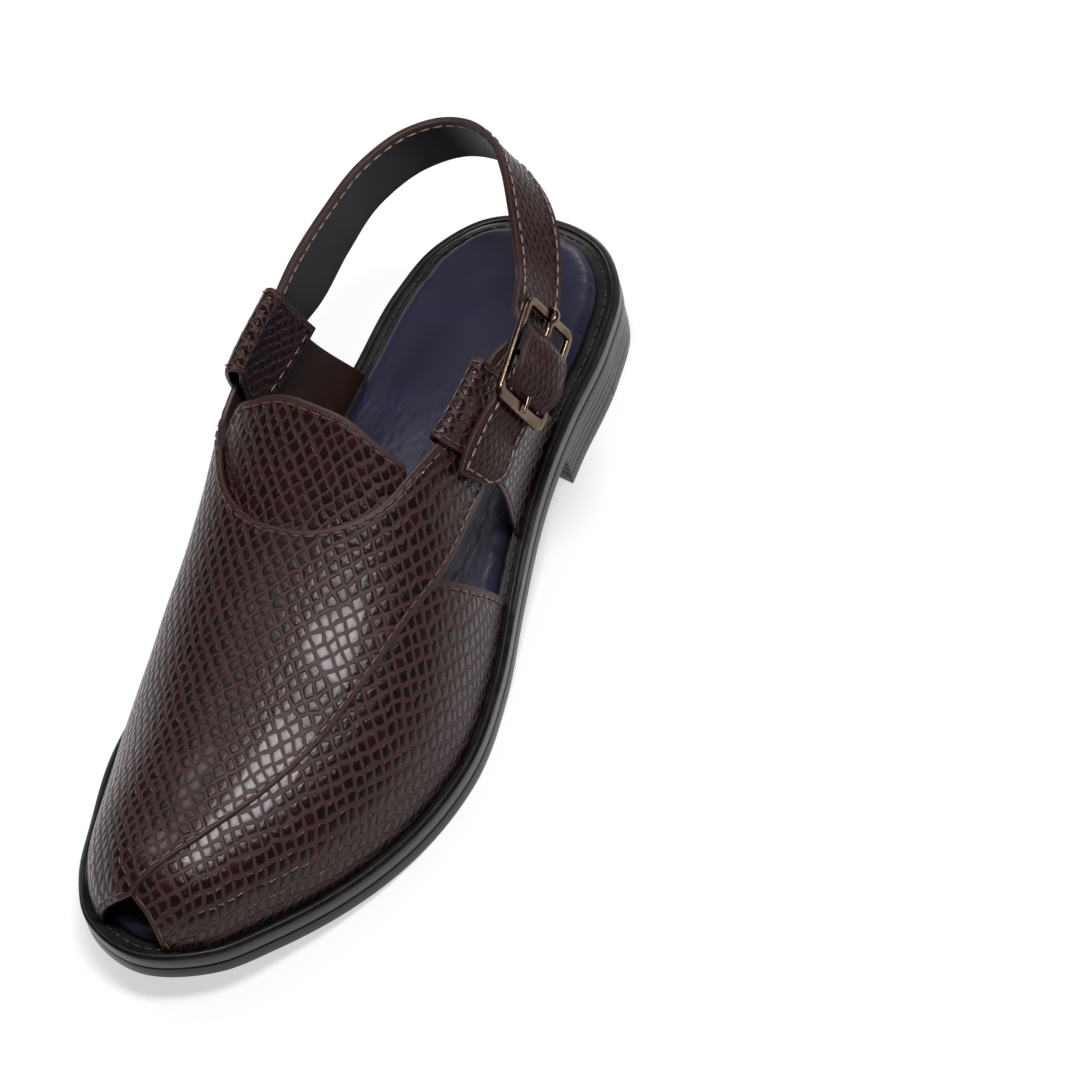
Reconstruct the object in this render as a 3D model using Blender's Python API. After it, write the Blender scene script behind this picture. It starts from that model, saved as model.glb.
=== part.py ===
# Left peshawari chappal, men's size 42: a crossed vamp with an open toe, two looped quarters
# and a buckled heel strap on a welted leather sole.
# Metres, +X to the toe, +Y to the outer side, +Z up. The origin is on the floor under the
# middle of the sole. The tables are measured from the last's own centre line, and each
# object is placed so that the sole's outline is centred on the origin.
import math

import bmesh
import bpy
import numpy as np
from mathutils.geometry import delaunay_2d_cdt

for thing in list(bpy.data.objects):
    bpy.data.objects.remove(thing, do_unlink=True)

mm = 0.001

# Driving sizes
LENGTH = 292 * mm
BALL_WIDTH = 108 * mm
HEEL_HEIGHT = 12.9 * mm
TOE_SPRING = 11.2 * mm
INSTEP_HEIGHT = 78 * mm
STRAP_WIDTH = 19.4 * mm
GAP = 0.3 * mm

# Sole layers, as heights over the outsole's underside
OUTSOLE = 4.6 * mm
WELT_TOP = 9.3 * mm
BEAD_TOP = 10.3 * mm
CHANNEL = 8.8 * mm
INSOLE_TOP = 8.8 * mm
FOOTBED_BASE = 9.1 * mm
FOOTBED_RISE = 0.9 * mm
FOOTBED_SLOPE = 20 * mm
TOP_PIECE = 5.0 * mm

# Insets from the sole's edge
FEATHER = 5.2 * mm
WELT_INNER = 8.2 * mm
FOOTBED_INSET = 6.9 * mm

# Leather
WALL = 1.8 * mm
OVERLAP_STEP = 1.2 * mm
EAR_LIFT = 1.9 * mm
LOOP_WALL = 1.4 * mm
LOOP_RADIUS = 2.3 * mm
STRAP_WALL = 2.0 * mm
TONGUE_WALL = 1.6 * mm
TONGUE_GAP = 0.45 * mm

# Where the sole touches the floor and where the heel ends, as shares of the length
HEEL_BREAST = 0.277
WAIST_END = 0.62
TOE_START = 0.72

# The sole's outline. along is a share of the length from the heel, outer and inner are
# shares of the ball width from the centre line.
OUTLINE = [
    # along, outer, inner
    (0.020, 0.174, 0.214),
    (0.070, 0.285, 0.316),
    (0.140, 0.330, 0.355),
    (0.250, 0.348, 0.352),
    (0.360, 0.381, 0.351),
    (0.460, 0.433, 0.379),
    (0.560, 0.494, 0.429),
    (0.660, 0.526, 0.476),
    (0.760, 0.481, 0.478),
    (0.850, 0.382, 0.415),
    (0.920, 0.263, 0.346),
    (0.970, 0.152, 0.246),
]
HEEL_TIP = (0.0, -0.031)
TOE_TIP = (1.0, -0.042)

# The last's sections. crown is a share of the instep height, ridge and the two bulges are
# shares of the ball width.
SECTIONS = [
    # along, crown, ridge, outer bulge, inner bulge
    (0.30, 1.465, -0.059, 0.016, 0.106),
    (0.38, 1.233, -0.063, 0.016, 0.108),
    (0.46, 1.000, -0.068, 0.015, 0.105),
    (0.54, 0.815, -0.071, 0.012, 0.070),
    (0.62, 0.682, -0.073, 0.009, 0.027),
    (0.70, 0.582, -0.067, 0.006, -0.020),
    (0.78, 0.485, -0.060, 0.003, -0.047),
    (0.86, 0.391, -0.053, 0.001, -0.020),
    (0.93, 0.299, -0.044, 0.000, -0.004),
    (1.00, 0.220, -0.042, 0.000, 0.000),
]
SECTION_POWER = 0.91
TOE_ROUND = 20 * mm

# Panels are drawn on the last as (along, degrees from the ridge, outer side positive).
# Each edge runs from one corner to the next.
FEATHER_ANGLE = 89.9
VAMP_EDGES = [
    [(0.965, -FEATHER_ANGLE), (0.965, -54), (0.963, -27), (0.960, -14), (0.957, -7)],
    [(0.957, -7), (0.902, 15), (0.839, 27), (0.759, 35), (0.686, 39), (0.614, 44),
     (0.557, 51), (0.508, 58), (0.452, 65), (0.437, 67)],
    [(0.437, 67), (0.400, 70), (0.350, 72), (0.300, 73)],
    [(0.300, 73), (0.300, 64)],
    [(0.300, 64), (0.350, 59.5), (0.400, 54), (0.445, 44.5), (0.480, 37)],
    [(0.480, 37), (0.523, 28), (0.552, 18), (0.568, 8), (0.571, -1), (0.561, -14),
     (0.532, -27), (0.496, -36), (0.470, -44), (0.420, -51), (0.3592, -56)],
    [(0.3592, -56), (0.3592, -68)],
    [(0.3592, -68), (0.410, -66), (0.450, -64)],
    [(0.450, -64), (0.505, -68), (0.510, -76), (0.473, -FEATHER_ANGLE)],
    [(0.473, -FEATHER_ANGLE), (0.560, -FEATHER_ANGLE), (0.660, -FEATHER_ANGLE),
     (0.760, -FEATHER_ANGLE), (0.860, -FEATHER_ANGLE), (0.930, -FEATHER_ANGLE),
     (0.965, -FEATHER_ANGLE)],
]
UNDER_EDGES = [
    [(0.957, -9), (0.964, 1), (0.972, 20), (0.977, 50), (0.978, FEATHER_ANGLE)],
    [(0.978, FEATHER_ANGLE), (0.930, FEATHER_ANGLE), (0.860, FEATHER_ANGLE),
     (0.760, FEATHER_ANGLE), (0.660, FEATHER_ANGLE), (0.560, FEATHER_ANGLE),
     (0.473, FEATHER_ANGLE)],
    [(0.473, FEATHER_ANGLE), (0.517, 69), (0.545, 53)],
    [(0.545, 53), (0.565, 40)],
    [(0.565, 40), (0.614, 31), (0.686, 26), (0.759, 21), (0.839, 11), (0.902, -3),
     (0.940, -16)],
    [(0.940, -16), (0.957, -9)],
]
TONGUE_EDGES = [
    [(0.496, -38), (0.470, -33), (0.467, -20), (0.464, -7), (0.467, 4), (0.469, 14),
     (0.475, 25), (0.477, 36)],
    [(0.477, 36), (0.525, 40), (0.575, 34), (0.612, 14), (0.615, -4), (0.603, -22),
     (0.560, -38), (0.496, -38)],
]

# Each quarter rises from the sole and leans to the toe; shares of the length
QUARTER_FOOT = (0.400, 0.255)
INNER_QUARTER_TOP = (0.430, 0.324)
OUTER_QUARTER_TOP = (0.440, 0.342)
QUARTER_WAIST = 0.006
INNER_LOOP_TOP = (80.5 * mm, 82.5 * mm)
OUTER_LOOP_TOP = (75.8 * mm, 79.3 * mm)
FLAP_DEPTH = 25 * mm
EAR_RISE = (22 * mm, 50 * mm)

# The heel strap starts on the inside as one piece with the vamp
STRAP_START = [
    # along, top, low (mm)
    (0.3585, 79.8, 61.6),
    (0.325, 80.8, 62.0),
]
# It then runs from the inner loop to the buckle, drawn by its two edges
STRAP_RAILS = [
    # top edge, low edge (mm)
    ((-66, -41.5, 81), (-67, -37.6, 61)),
    ((-86, -40.2, 82), (-87, -37.2, 62.6)),
    ((-106, -36.7, 83), (-106.5, -34.8, 64.2)),
    ((-120.6, -27.4, 85), (-122.0, -25.4, 66.5)),
    ((-126.3, -17.0, 86.5), (-129.0, -14.4, 68)),
    ((-126.0, -7.0, 88), (-129.5, -4.0, 69.3)),
    ((-121.0, 2.6, 88.5), (-126.4, 6.3, 70)),
    ((-113.0, 9.5, 88), (-120.0, 15.5, 71)),
    ((-99.5, 18.0, 85.5), (-108.0, 26.5, 70.5)),
    ((-84.0, 27.0, 82.5), (-91.5, 34.5, 66.5)),
]

# The buckle's frame lies over the outer quarter; its own axes are along (to the toe),
# down and out
BUCKLE_CENTRE = np.array((-56.8, 42.7, 70.1)) * mm
BUCKLE_ALONG = np.array((0.970, 0.068, -0.231))
BUCKLE_OUT = np.array((-0.009, 0.969, 0.247))
BUCKLE_LENGTH = 34 * mm
BUCKLE_WIDTH = 26.4 * mm
SIDE_BAR = 2.3 * mm
HEEL_BAR = 2.6 * mm
TOE_BAR = 4.0 * mm
FRAME_THICKNESS = 2.2 * mm
OUTER_CORNER = 3.2 * mm
INNER_CORNER = 1.4 * mm
PRONG = 1.8 * mm
PRONG_REST = 0.7 * mm
HIDDEN_BAR = 1.8 * mm
HIDDEN_BAR_DROP = 1.2 * mm

# The strap's path through the frame. along is a share of the opening, from the heel-side
# bar to the toe-side bar; out is the height over the frame's plane.
OPENING_START = HEEL_BAR - BUCKLE_LENGTH / 2
OPENING_END = BUCKLE_LENGTH / 2 - TOE_BAR
STRAP_THREAD = [
    # along, out (mm), top and low half as shares of the strap's width
    (-0.107, -4.9, 0.66, 0.50),
    (0.080, -4.5, 0.60, 0.50),
    (0.205, 0.0, 0.545, 0.52),
    (0.340, 3.8, 0.575, 0.54),
    (0.570, 4.4, 0.64, 0.57),
    (0.775, 4.2, 0.62, 0.55),
    (0.895, 2.4, 0.545, 0.53),
    (0.955, -0.4, 0.51, 0.51),
    (1.029, -3.0, 0.50, 0.50),
    (1.143, -3.1, 0.50, 0.50),
]
# Cuts for the prong, as along, down and out
PRONG_SLOT = ((0.070, 0.406), 1.4 * mm, (-3.4 * mm, 3.8 * mm))
PRONG_HOLE = ((0.775, 1.045), 1.4 * mm, (-1.6 * mm, 4.4 * mm))
PRONG_PATH = [
    # along, out (mm)
    (0.139, 1.1),
    (0.529, 1.5),
    (0.939, 2.1),
]
# The tail lies on the outer loop: along the shoe, height of its top and low edges
TAIL = [
    # along, top, low (mm)
    (0.384, 0.374, 72.5, 51.5),
    (0.411, 0.396, 71.5, 50.0),
    (0.434, 0.419, 69.5, 52.0),
    (0.453, 0.441, 66.8, 58.5),
]
TAIL_OFFSET = WALL / 2 + LOOP_RADIUS + LOOP_WALL / 2 + STRAP_WALL / 2 + 0.5 * mm


# Lines

def hermite(knots, values, at):
    # a smooth curve through values at the knots, read at the places in at
    knots = np.asarray(knots, float)
    values = np.asarray(values, float)
    step = np.diff(knots)
    slope = (np.diff(values, axis=0).T / step).T
    tangent = np.empty_like(values)
    tangent[0] = slope[0]
    tangent[-1] = slope[-1]
    before = (slope[:-1].T * step[1:]).T
    after = (slope[1:].T * step[:-1]).T
    tangent[1:-1] = ((before + after).T / (step[1:] + step[:-1])).T
    k = np.clip(np.searchsorted(knots, at, side="right") - 1, 0, len(step) - 1)
    h = step[k]
    t = np.clip((at - knots[k]) / h, 0, 1)
    weights = (2 * t**3 - 3 * t**2 + 1, (t**3 - 2 * t**2 + t) * h,
               -2 * t**3 + 3 * t**2, (t**3 - t**2) * h)
    parts = (values[k], tangent[k], values[k + 1], tangent[k + 1])
    return sum((part.T * weight).T for part, weight in zip(parts, weights))


def lengths(line):
    return np.r_[0, np.cumsum(np.linalg.norm(np.diff(line, axis=0), axis=1))]


def smooth_line(points, spacing):
    # an open curve through the points with its own points at even steps
    pts = np.array(points, float)
    if len(pts) > 2:
        knots = lengths(pts)
        pts = hermite(knots, pts, np.linspace(0, knots[-1], 24 * len(pts)))
    run = lengths(pts)
    count = max(int(round(run[-1] / spacing)), 1)
    places = np.linspace(0, run[-1], count + 1)
    return np.stack([np.interp(places, run, pts[:, c]) for c in range(pts.shape[1])], axis=1)


def smooth_ring(points, count):
    # a closed curve through the points with count even steps
    pts = np.array(points, float)
    wrapped = np.vstack([pts[-3:], pts, pts[:3]])
    knots = lengths(wrapped)
    start = knots[3]
    end = knots[3 + len(pts)]
    fine = hermite(knots, wrapped, np.linspace(start, end, 24 * len(pts)))
    run = lengths(fine)
    places = np.linspace(0, run[-1], count, endpoint=False)
    return np.stack([np.interp(places, run, fine[:, c]) for c in range(pts.shape[1])], axis=1)


def inset_ring(ring, distance):
    # moves a ring that runs anticlockwise inwards
    along = np.roll(ring, -1, 0) - np.roll(ring, 1, 0)
    along /= np.linalg.norm(along, axis=1)[:, None]
    inward = np.stack([-along[:, 1], along[:, 0]], axis=1)
    return ring + inward * np.reshape(distance, (-1, 1))


def ease(value, start, end):
    t = np.clip((np.asarray(value, float) - start) / (end - start), 0, 1)
    return t * t * (3 - 2 * t)


# The sole's outline and the underside's height

def share_of(x):
    return np.asarray(x, float) / LENGTH + 0.5


def outline_points():
    inner = [((along - 0.5) * LENGTH, -width * BALL_WIDTH) for along, _, width in OUTLINE]
    outer = [((along - 0.5) * LENGTH, width * BALL_WIDTH) for along, width, _ in OUTLINE]
    heel = ((HEEL_TIP[0] - 0.5) * LENGTH, HEEL_TIP[1] * BALL_WIDTH)
    toe = ((TOE_TIP[0] - 0.5) * LENGTH, TOE_TIP[1] * BALL_WIDTH)
    return [heel] + inner + [toe] + outer[::-1]


def sole_level(x):
    # the height of the outsole's underside: heel seat, waist, flat tread and toe spring
    share = share_of(x)
    fall = np.clip((share - HEEL_BREAST + 0.007) / (WAIST_END - HEEL_BREAST + 0.007), 0, 1)
    waist = HEEL_HEIGHT * 0.5 * (1 + np.cos(np.pi * fall))
    rise = np.clip((share - TOE_START) / (1 - TOE_START), 0, None)
    return waist + TOE_SPRING * rise**1.8


EDGE = smooth_ring(outline_points(), 88)
FINE_EDGE = smooth_ring(outline_points(), 400)
CENTRE_LINE = -(FINE_EDGE[:, 1].min() + FINE_EDGE[:, 1].max()) / 2
FEATHER_RING = inset_ring(FINE_EDGE, FEATHER)
HEEL_END = FEATHER_RING[:, 0].argmin()
TOE_END = FEATHER_RING[:, 0].argmax()
FEATHER_TURNED = np.roll(FEATHER_RING, -HEEL_END, 0)
TOE_INDEX = (TOE_END - HEEL_END) % len(FEATHER_RING)
INNER_FEATHER = FEATHER_TURNED[:TOE_INDEX + 1]
OUTER_FEATHER = np.vstack([FEATHER_TURNED[TOE_INDEX:], FEATHER_TURNED[:1]])[::-1]
LAST_HEEL = FEATHER_RING[HEEL_END, 0]
LAST_TOE = FEATHER_RING[TOE_END, 0]


# The last's surface

TOE_BLEND = 0.05


def run_of(share):
    # an even measure along the last, 0 at the heel and 1 at the toe's tip
    x = (np.asarray(share, float) - 0.5) * LENGTH
    scale = math.hypot(1, TOE_BLEND) - TOE_BLEND
    rest = (LAST_TOE - x) / (LAST_TOE - LAST_HEEL) * scale + TOE_BLEND
    return 1 - np.sqrt(np.clip(rest**2 - TOE_BLEND**2, 0, None))


def x_of(run):
    rest = 1 - np.asarray(run, float)
    scale = math.hypot(1, TOE_BLEND) - TOE_BLEND
    part = (np.sqrt(rest**2 + TOE_BLEND**2) - TOE_BLEND) / scale
    return LAST_TOE - (LAST_TOE - LAST_HEEL) * part


def section(share):
    rows = np.array(SECTIONS)
    at = np.clip(share, rows[0, 0], rows[-1, 0])
    crown, ridge, outer, inner = hermite(rows[:, 0], rows[:, 1:], at).T
    return crown * INSTEP_HEIGHT, ridge * BALL_WIDTH, outer * BALL_WIDTH, inner * BALL_WIDTH


def bare_last(run, angle):
    run, angle = np.broadcast_arrays(np.asarray(run, float), np.asarray(angle, float))
    shape = run.shape
    run = run.ravel()
    angle = angle.ravel()
    x = x_of(run)
    crown, ridge, outer_bulge, inner_bulge = section(share_of(x))
    left = LAST_TOE - x
    crown = crown * np.sqrt(np.clip(1 - np.clip(1 - left / TOE_ROUND, 0, 1) ** 2, 0, 1))
    outer = np.interp(x, OUTER_FEATHER[:, 0], OUTER_FEATHER[:, 1])
    inner = np.interp(x, INNER_FEATHER[:, 0], INNER_FEATHER[:, 1])
    side = np.abs(np.sin(angle)) ** SECTION_POWER
    swell = np.sin(2 * np.abs(angle))
    y = np.where(angle > 0, ridge + (outer - ridge) * side + outer_bulge * swell,
                 ridge + (inner - ridge) * side - inner_bulge * swell)
    up = np.clip(np.cos(angle), 0, 1) ** SECTION_POWER
    z = sole_level(x) + WELT_TOP + crown * up
    return np.stack([x, y, z], axis=-1).reshape(shape + (3,))


def last_point(run, angle, offset=0.0):
    # a place on the last, raised by offset along its normal
    e = 1e-3
    limit = math.pi / 2
    ahead = bare_last(np.clip(np.add(run, e), 0, 1), angle)
    behind = bare_last(np.clip(np.subtract(run, e), 0, 1), angle)
    left = bare_last(run, np.clip(np.add(angle, e), -limit, limit))
    right = bare_last(run, np.clip(np.subtract(angle, e), -limit, limit))
    normal = np.cross(ahead - behind, left - right)
    normal /= np.linalg.norm(normal, axis=-1)[..., None]
    return bare_last(run, angle) + normal * np.asarray(offset, float)[..., None]


def side_angle(side, share, z):
    # the angle at which the last's side has the height z
    x = (np.asarray(share, float) - 0.5) * LENGTH
    crown = section(np.atleast_1d(share))[0].reshape(np.shape(share))
    up = np.clip((z - sole_level(x) - WELT_TOP) / crown, 0, 1)
    return side * np.arccos(up ** (1 / SECTION_POWER))


def side_point(side, share, z, offset):
    return last_point(run_of(share), side_angle(side, share, z), offset)


# Meshes

def material(name, colour, roughness, metallic=0.0):
    mat = bpy.data.materials.new(name)
    mat.use_nodes = True
    shader = mat.node_tree.nodes["Principled BSDF"]
    shader.inputs["Base Color"].default_value = (*colour, 1)
    shader.inputs["Roughness"].default_value = roughness
    shader.inputs["Metallic"].default_value = metallic
    return mat


def add_object(name, verts, faces, mat, smooth=True):
    mesh = bpy.data.meshes.new(name)
    mesh.from_pydata([tuple(v) for v in verts], [], [tuple(f) for f in faces])
    bm = bmesh.new()
    bm.from_mesh(mesh)
    bmesh.ops.recalc_face_normals(bm, faces=bm.faces)
    bm.to_mesh(mesh)
    bm.free()
    if smooth:
        mesh.shade_smooth()
        mesh.set_sharp_from_angle(angle=math.radians(40))
    mesh.materials.append(mat)
    ob = bpy.data.objects.new(name, mesh)
    ob.location.y = CENTRE_LINE
    bpy.context.scene.collection.objects.link(ob)
    return ob


def thicken(ob, thickness):
    mod = ob.modifiers.new("Thickness", "SOLIDIFY")
    mod.thickness = thickness
    mod.offset = 0
    mod.use_even_offset = True


def combine(ob, other, operation):
    mod = ob.modifiers.new(operation.title(), "BOOLEAN")
    mod.operation = operation
    mod.solver = "EXACT"
    mod.object = other
    other.hide_render = True
    other.display_type = "WIRE"


def distance_to_ring(points, ring):
    a = ring[None]
    b = np.roll(ring, -1, 0)[None]
    p = points[:, None]
    t = np.clip(((p - a) * (b - a)).sum(-1) / ((b - a) ** 2).sum(-1), 0, 1)
    return np.linalg.norm(p - (a + t[..., None] * (b - a)), axis=-1).min(1)


def fill_ring(ring, spacing):
    # fills a flat ring with triangles, with a grid of points inside it
    low = ring.min(0)
    high = ring.max(0)
    count = np.maximum(np.round((high - low) / spacing).astype(int), 1)
    grid = np.stack(np.meshgrid(*[np.linspace(low[c], high[c], count[c] + 1) for c in (0, 1)],
                                indexing="ij"), axis=-1).reshape(-1, 2)
    grid = grid[distance_to_ring(grid, ring) > 0.45 * spacing]
    coords = [tuple(p) for p in ring] + [tuple(p) for p in grid]
    border = [list(range(len(ring)))]
    out = delaunay_2d_cdt(coords, [], border, 1, 1e-9)
    flat = np.array([tuple(v) for v in out[0]])
    origin = [ids[0] if ids else -1 for ids in out[3]]
    place = {source: k for k, source in enumerate(origin) if source >= 0}
    faces = [tuple(f) for f in out[2]]
    used = sorted({k for f in faces for k in f})
    order = [place[k] for k in range(len(ring))]
    order += [k for k in used if k not in set(order)]
    index = {k: n for n, k in enumerate(order)}
    return flat[order], [tuple(index[k] for k in f) for f in faces]


def stack(name, ring, levels, mat, level_of=sole_level, spacing=13 * mm, crown=None):
    # a plate built from rings at (inset, height) over a base level, with filled ends
    verts = []
    faces = []
    count = len(ring)
    for inset, height in levels:
        flat = inset_ring(ring, inset)
        verts += [(x, y, float(level_of(x)) + height) for x, y in flat]
    for k in range(len(levels) - 1):
        for i in range(count):
            j = (i + 1) % count
            faces.append((k * count + i, k * count + j, (k + 1) * count + j, (k + 1) * count + i))
    for k in (0, len(levels) - 1):
        inset, height = levels[k]
        border = inset_ring(ring, inset)
        flat, cap = fill_ring(border, spacing)
        start = len(verts)
        depth = distance_to_ring(flat[count:], border)
        for (x, y), d in zip(flat[count:], depth):
            rise = crown(d) if crown and k else 0.0
            verts.append((x, y, float(level_of(x)) + height + rise))
        for f in cap:
            faces.append(tuple(k * count + n if n < count else start + n - count for n in f))
    return add_object(name, verts, faces, mat)


def grid_faces(rows, columns):
    return [(r * columns + c, r * columns + c + 1, (r + 1) * columns + c + 1, (r + 1) * columns + c)
            for r in range(rows - 1) for c in range(columns - 1)]


def sheet(name, grid, thickness, mat):
    # a leather sheet from a grid of points, as thick on both sides
    rows, columns, _ = grid.shape
    ob = add_object(name, grid.reshape(-1, 3), grid_faces(rows, columns), mat)
    thicken(ob, thickness)
    return ob


def tube(name, rings, mat, closed=False):
    # joins rings of points; open tubes get flat ends
    count = len(rings[0])
    verts = [p for ring in rings for p in ring]
    faces = []
    last = len(rings) if closed else len(rings) - 1
    for k in range(last):
        n = (k + 1) % len(rings)
        for i in range(count):
            j = (i + 1) % count
            faces.append((k * count + i, k * count + j, n * count + j, n * count + i))
    if not closed:
        faces.append(tuple(range(count)))
        faces.append(tuple((len(rings) - 1) * count + i for i in reversed(range(count))))
    return add_object(name, verts, faces, mat)


# Panels of the upper

ANGLE_SPAN = 50 * mm
VAMP_SPACING = 6.5 * mm
UNDER_SPACING = 7 * mm
TONGUE_SPACING = 8 * mm


def panel_ring(edges, spacing):
    # edges are drawn as (along, degrees); the panel's flat measure is the run and the angle
    points = []
    for edge in edges:
        flat = [(float(run_of(a)) * LENGTH, math.radians(d) * ANGLE_SPAN) for a, d in edge]
        points += list(smooth_line(flat, spacing)[:-1])
    return np.array(points)


def vamp_offset(run, angle):
    # the main panel climbs over the under panel by the overlap step
    share = share_of(x_of(run))
    turned = np.degrees(angle)
    climb = ease(turned, -12, 16) * ease(share, 0.46, 0.56)
    toe = ease(share, 0.88, 0.93) * ease(turned, -45, -12)
    lift = EAR_LIFT * (1 - ease(share, 0.300, 0.322)) * ease(turned, 0, 30)
    return WALL / 2 + OVERLAP_STEP * np.maximum(climb, toe) + lift


def panel(name, edges, offset, thickness, mat, spacing):
    ring = panel_ring(edges, spacing)
    flat, faces = fill_ring(ring, spacing)
    run = flat[:, 0] / LENGTH
    angle = flat[:, 1] / ANGLE_SPAN
    raised = offset(run, angle) if callable(offset) else np.full(len(run), offset)
    ob = add_object(name, last_point(run, angle, raised), faces, mat)
    thicken(ob, thickness)
    return ob


# Colours from the photograph
LEATHER = material("snake embossed leather", (0.035, 0.014, 0.011), 0.35)
NAVY = material("navy footbed leather", (0.014, 0.014, 0.035), 0.45)
BLACK = material("black edge", (0.012, 0.011, 0.011), 0.4)
BOARD = material("insole board", (0.05, 0.04, 0.03), 0.8)
BURGUNDY = material("burgundy sole leather", (0.13, 0.012, 0.014), 0.45)
RUBBER = material("black rubber", (0.01, 0.01, 0.01), 0.6)
BRASS = material("antique brass", (0.18, 0.12, 0.07), 0.35, 1.0)


# The sole

TREAD_DEPTH = 1.2 * mm
TREAD_CENTRE = (50 * mm, 1.5 * mm)
TREAD_RADII = (39 * mm, 43 * mm)
BREAST_BOW = 4 * mm
TOP_SPLIT = 0.157
HEEL_TAPER = 0.6 * mm
HEEL_SPACING = 6.5 * mm


def flat_level(x):
    return 0.0


def tread_ring(inset):
    # an oval across the flat of the forefoot
    turn = np.linspace(0, 2 * math.pi, 40, endpoint=False)
    along, across = (radius - inset for radius in TREAD_RADII)
    x = TREAD_CENTRE[0] + along * np.cos(turn)
    y = TREAD_CENTRE[1] + across * np.sin(turn)
    return np.stack([x, y], axis=1)


def add_outsole():
    chamfer = 0.7 * mm
    levels = [(chamfer, 0.0), (0.0, chamfer), (0.0, OUTSOLE)]
    ob = stack("outsole", EDGE, levels, BURGUNDY)
    pocket = stack("tread_pocket", tread_ring(0.0), [(0, -2 * mm), (0, TREAD_DEPTH)], BURGUNDY)
    combine(ob, pocket, "DIFFERENCE")
    levels = [(0.3 * mm, 0.0), (0.0, 0.3 * mm), (0.0, TREAD_DEPTH - GAP)]
    stack("forefoot_tread", tread_ring(GAP), levels, RUBBER)


def heel_ring(start, end):
    # the part of the sole's outline between two shares of the length; the front line bows back
    turned = np.roll(FINE_EDGE, -FINE_EDGE[:, 0].argmin(), 0)[::4]
    toe = turned[:, 0].argmax()
    inner = turned[:toe]
    outer = np.vstack([turned[toe:], turned[:1]])[::-1]
    x0 = (start - 0.5) * LENGTH
    x1 = (end - 0.5) * LENGTH
    sides = []
    for line in (inner, outer):
        low, high = np.interp((x0, x1), line[:, 0], line[:, 1])
        first = [(x0, low)] if start > 0 else [line[0]]
        kept = line[(line[:, 0] > max(x0, line[0, 0]) + mm) & (line[:, 0] < x1 - mm)]
        sides.append(smooth_line(first + list(kept) + [(x1, high)], HEEL_SPACING))

    def bowed(a, b):
        t = np.linspace(0, 1, 9)[1:-1]
        line = a + (b - a) * t[:, None]
        line[:, 0] -= BREAST_BOW * 4 * t * (1 - t)
        return line

    ring = list(sides[0]) + list(bowed(sides[0][-1], sides[1][-1]))
    if start > 0:
        ring += list(sides[1][::-1]) + list(bowed(sides[1][0], sides[0][0]))
    else:
        ring += list(sides[1][:0:-1])
    return np.array(ring)


def add_heel():
    top = HEEL_HEIGHT - 0.1 * mm
    seam = TOP_PIECE + 3.9 * mm
    groove = 0.35 * mm
    levels = [
        (HEEL_TAPER, TOP_PIECE + 0.1 * mm),
        (HEEL_TAPER * 0.7, seam - groove),
        (HEEL_TAPER * 0.7 + groove, seam),
        (HEEL_TAPER * 0.7, seam + groove),
        (HEEL_TAPER * 0.3, top),
    ]
    stack("heel_stack", heel_ring(0.0, HEEL_BREAST), levels, BLACK, level_of=flat_level)
    chamfer = 0.6 * mm
    levels = [(HEEL_TAPER + chamfer, 0.0), (HEEL_TAPER, chamfer), (HEEL_TAPER, TOP_PIECE)]
    stack("heel_top_leather", heel_ring(TOP_SPLIT, HEEL_BREAST), levels, BURGUNDY,
          level_of=flat_level)
    stack("heel_top_rubber", heel_ring(0.0, TOP_SPLIT - 0.0014), levels, RUBBER,
          level_of=flat_level)


def add_welt():
    # swept round the sole's edge, with a bead that stands further in at the heel
    share = share_of(EDGE[:, 0])
    bead = (1.9 - 1.1 * ease(share, 0.25, 0.75)) * mm
    low = OUTSOLE + GAP
    profile = [
        # inset, share of the bead's place, height
        (WELT_INNER, 0, low),
        (0.0, 0, low),
        (0.0, 0, WELT_TOP - 0.3 * mm),
        (0.3 * mm, 0, WELT_TOP),
        (-0.1 * mm, 1, WELT_TOP - 0.2 * mm),
        (0.2 * mm, 1, BEAD_TOP - 0.2 * mm),
        (0.6 * mm, 1, BEAD_TOP),
        (1.0 * mm, 1, BEAD_TOP - 0.3 * mm),
        (1.2 * mm, 1, CHANNEL),
        (WELT_INNER, 0, CHANNEL),
    ]
    lines = []
    for inset, moved, height in profile:
        line = inset_ring(EDGE, inset + moved * bead)
        lines.append(np.column_stack([line, sole_level(line[:, 0]) + height]))
    tube("welt", np.array(lines).transpose(1, 0, 2), BLACK, closed=True)


def add_footbed():
    levels = [(0.0, OUTSOLE + GAP), (0.0, INSOLE_TOP)]
    stack("insole", inset_ring(EDGE, WELT_INNER + GAP)[::2], levels, BOARD, spacing=20 * mm)
    ring = smooth_ring(inset_ring(EDGE, FOOTBED_INSET), 72)
    levels = [
        (0.9 * mm, FOOTBED_BASE),
        (0.1 * mm, FOOTBED_BASE + 0.9 * mm),
        (0.0, FOOTBED_BASE + 1.9 * mm),
        (0.5 * mm, FOOTBED_BASE + 3.1 * mm),
        (1.8 * mm, FOOTBED_BASE + 4.0 * mm),
        (4.5 * mm, FOOTBED_BASE + 4.5 * mm),
    ]
    stack("footbed", ring, levels, NAVY,
          crown=lambda depth: FOOTBED_RISE * float(ease(depth, 0, FOOTBED_SLOPE)))


# The upper

def add_vamp():
    under = panel("vamp_under_panel", UNDER_EDGES, WALL / 2, WALL, LEATHER, UNDER_SPACING)
    vamp = panel("upper", VAMP_EDGES, vamp_offset, WALL, LEATHER, VAMP_SPACING)
    combine(vamp, under, "UNION")
    low = -TONGUE_WALL / 2 - TONGUE_GAP
    panel("tongue_tab", TONGUE_EDGES, low, TONGUE_WALL, LEATHER, TONGUE_SPACING)


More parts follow.
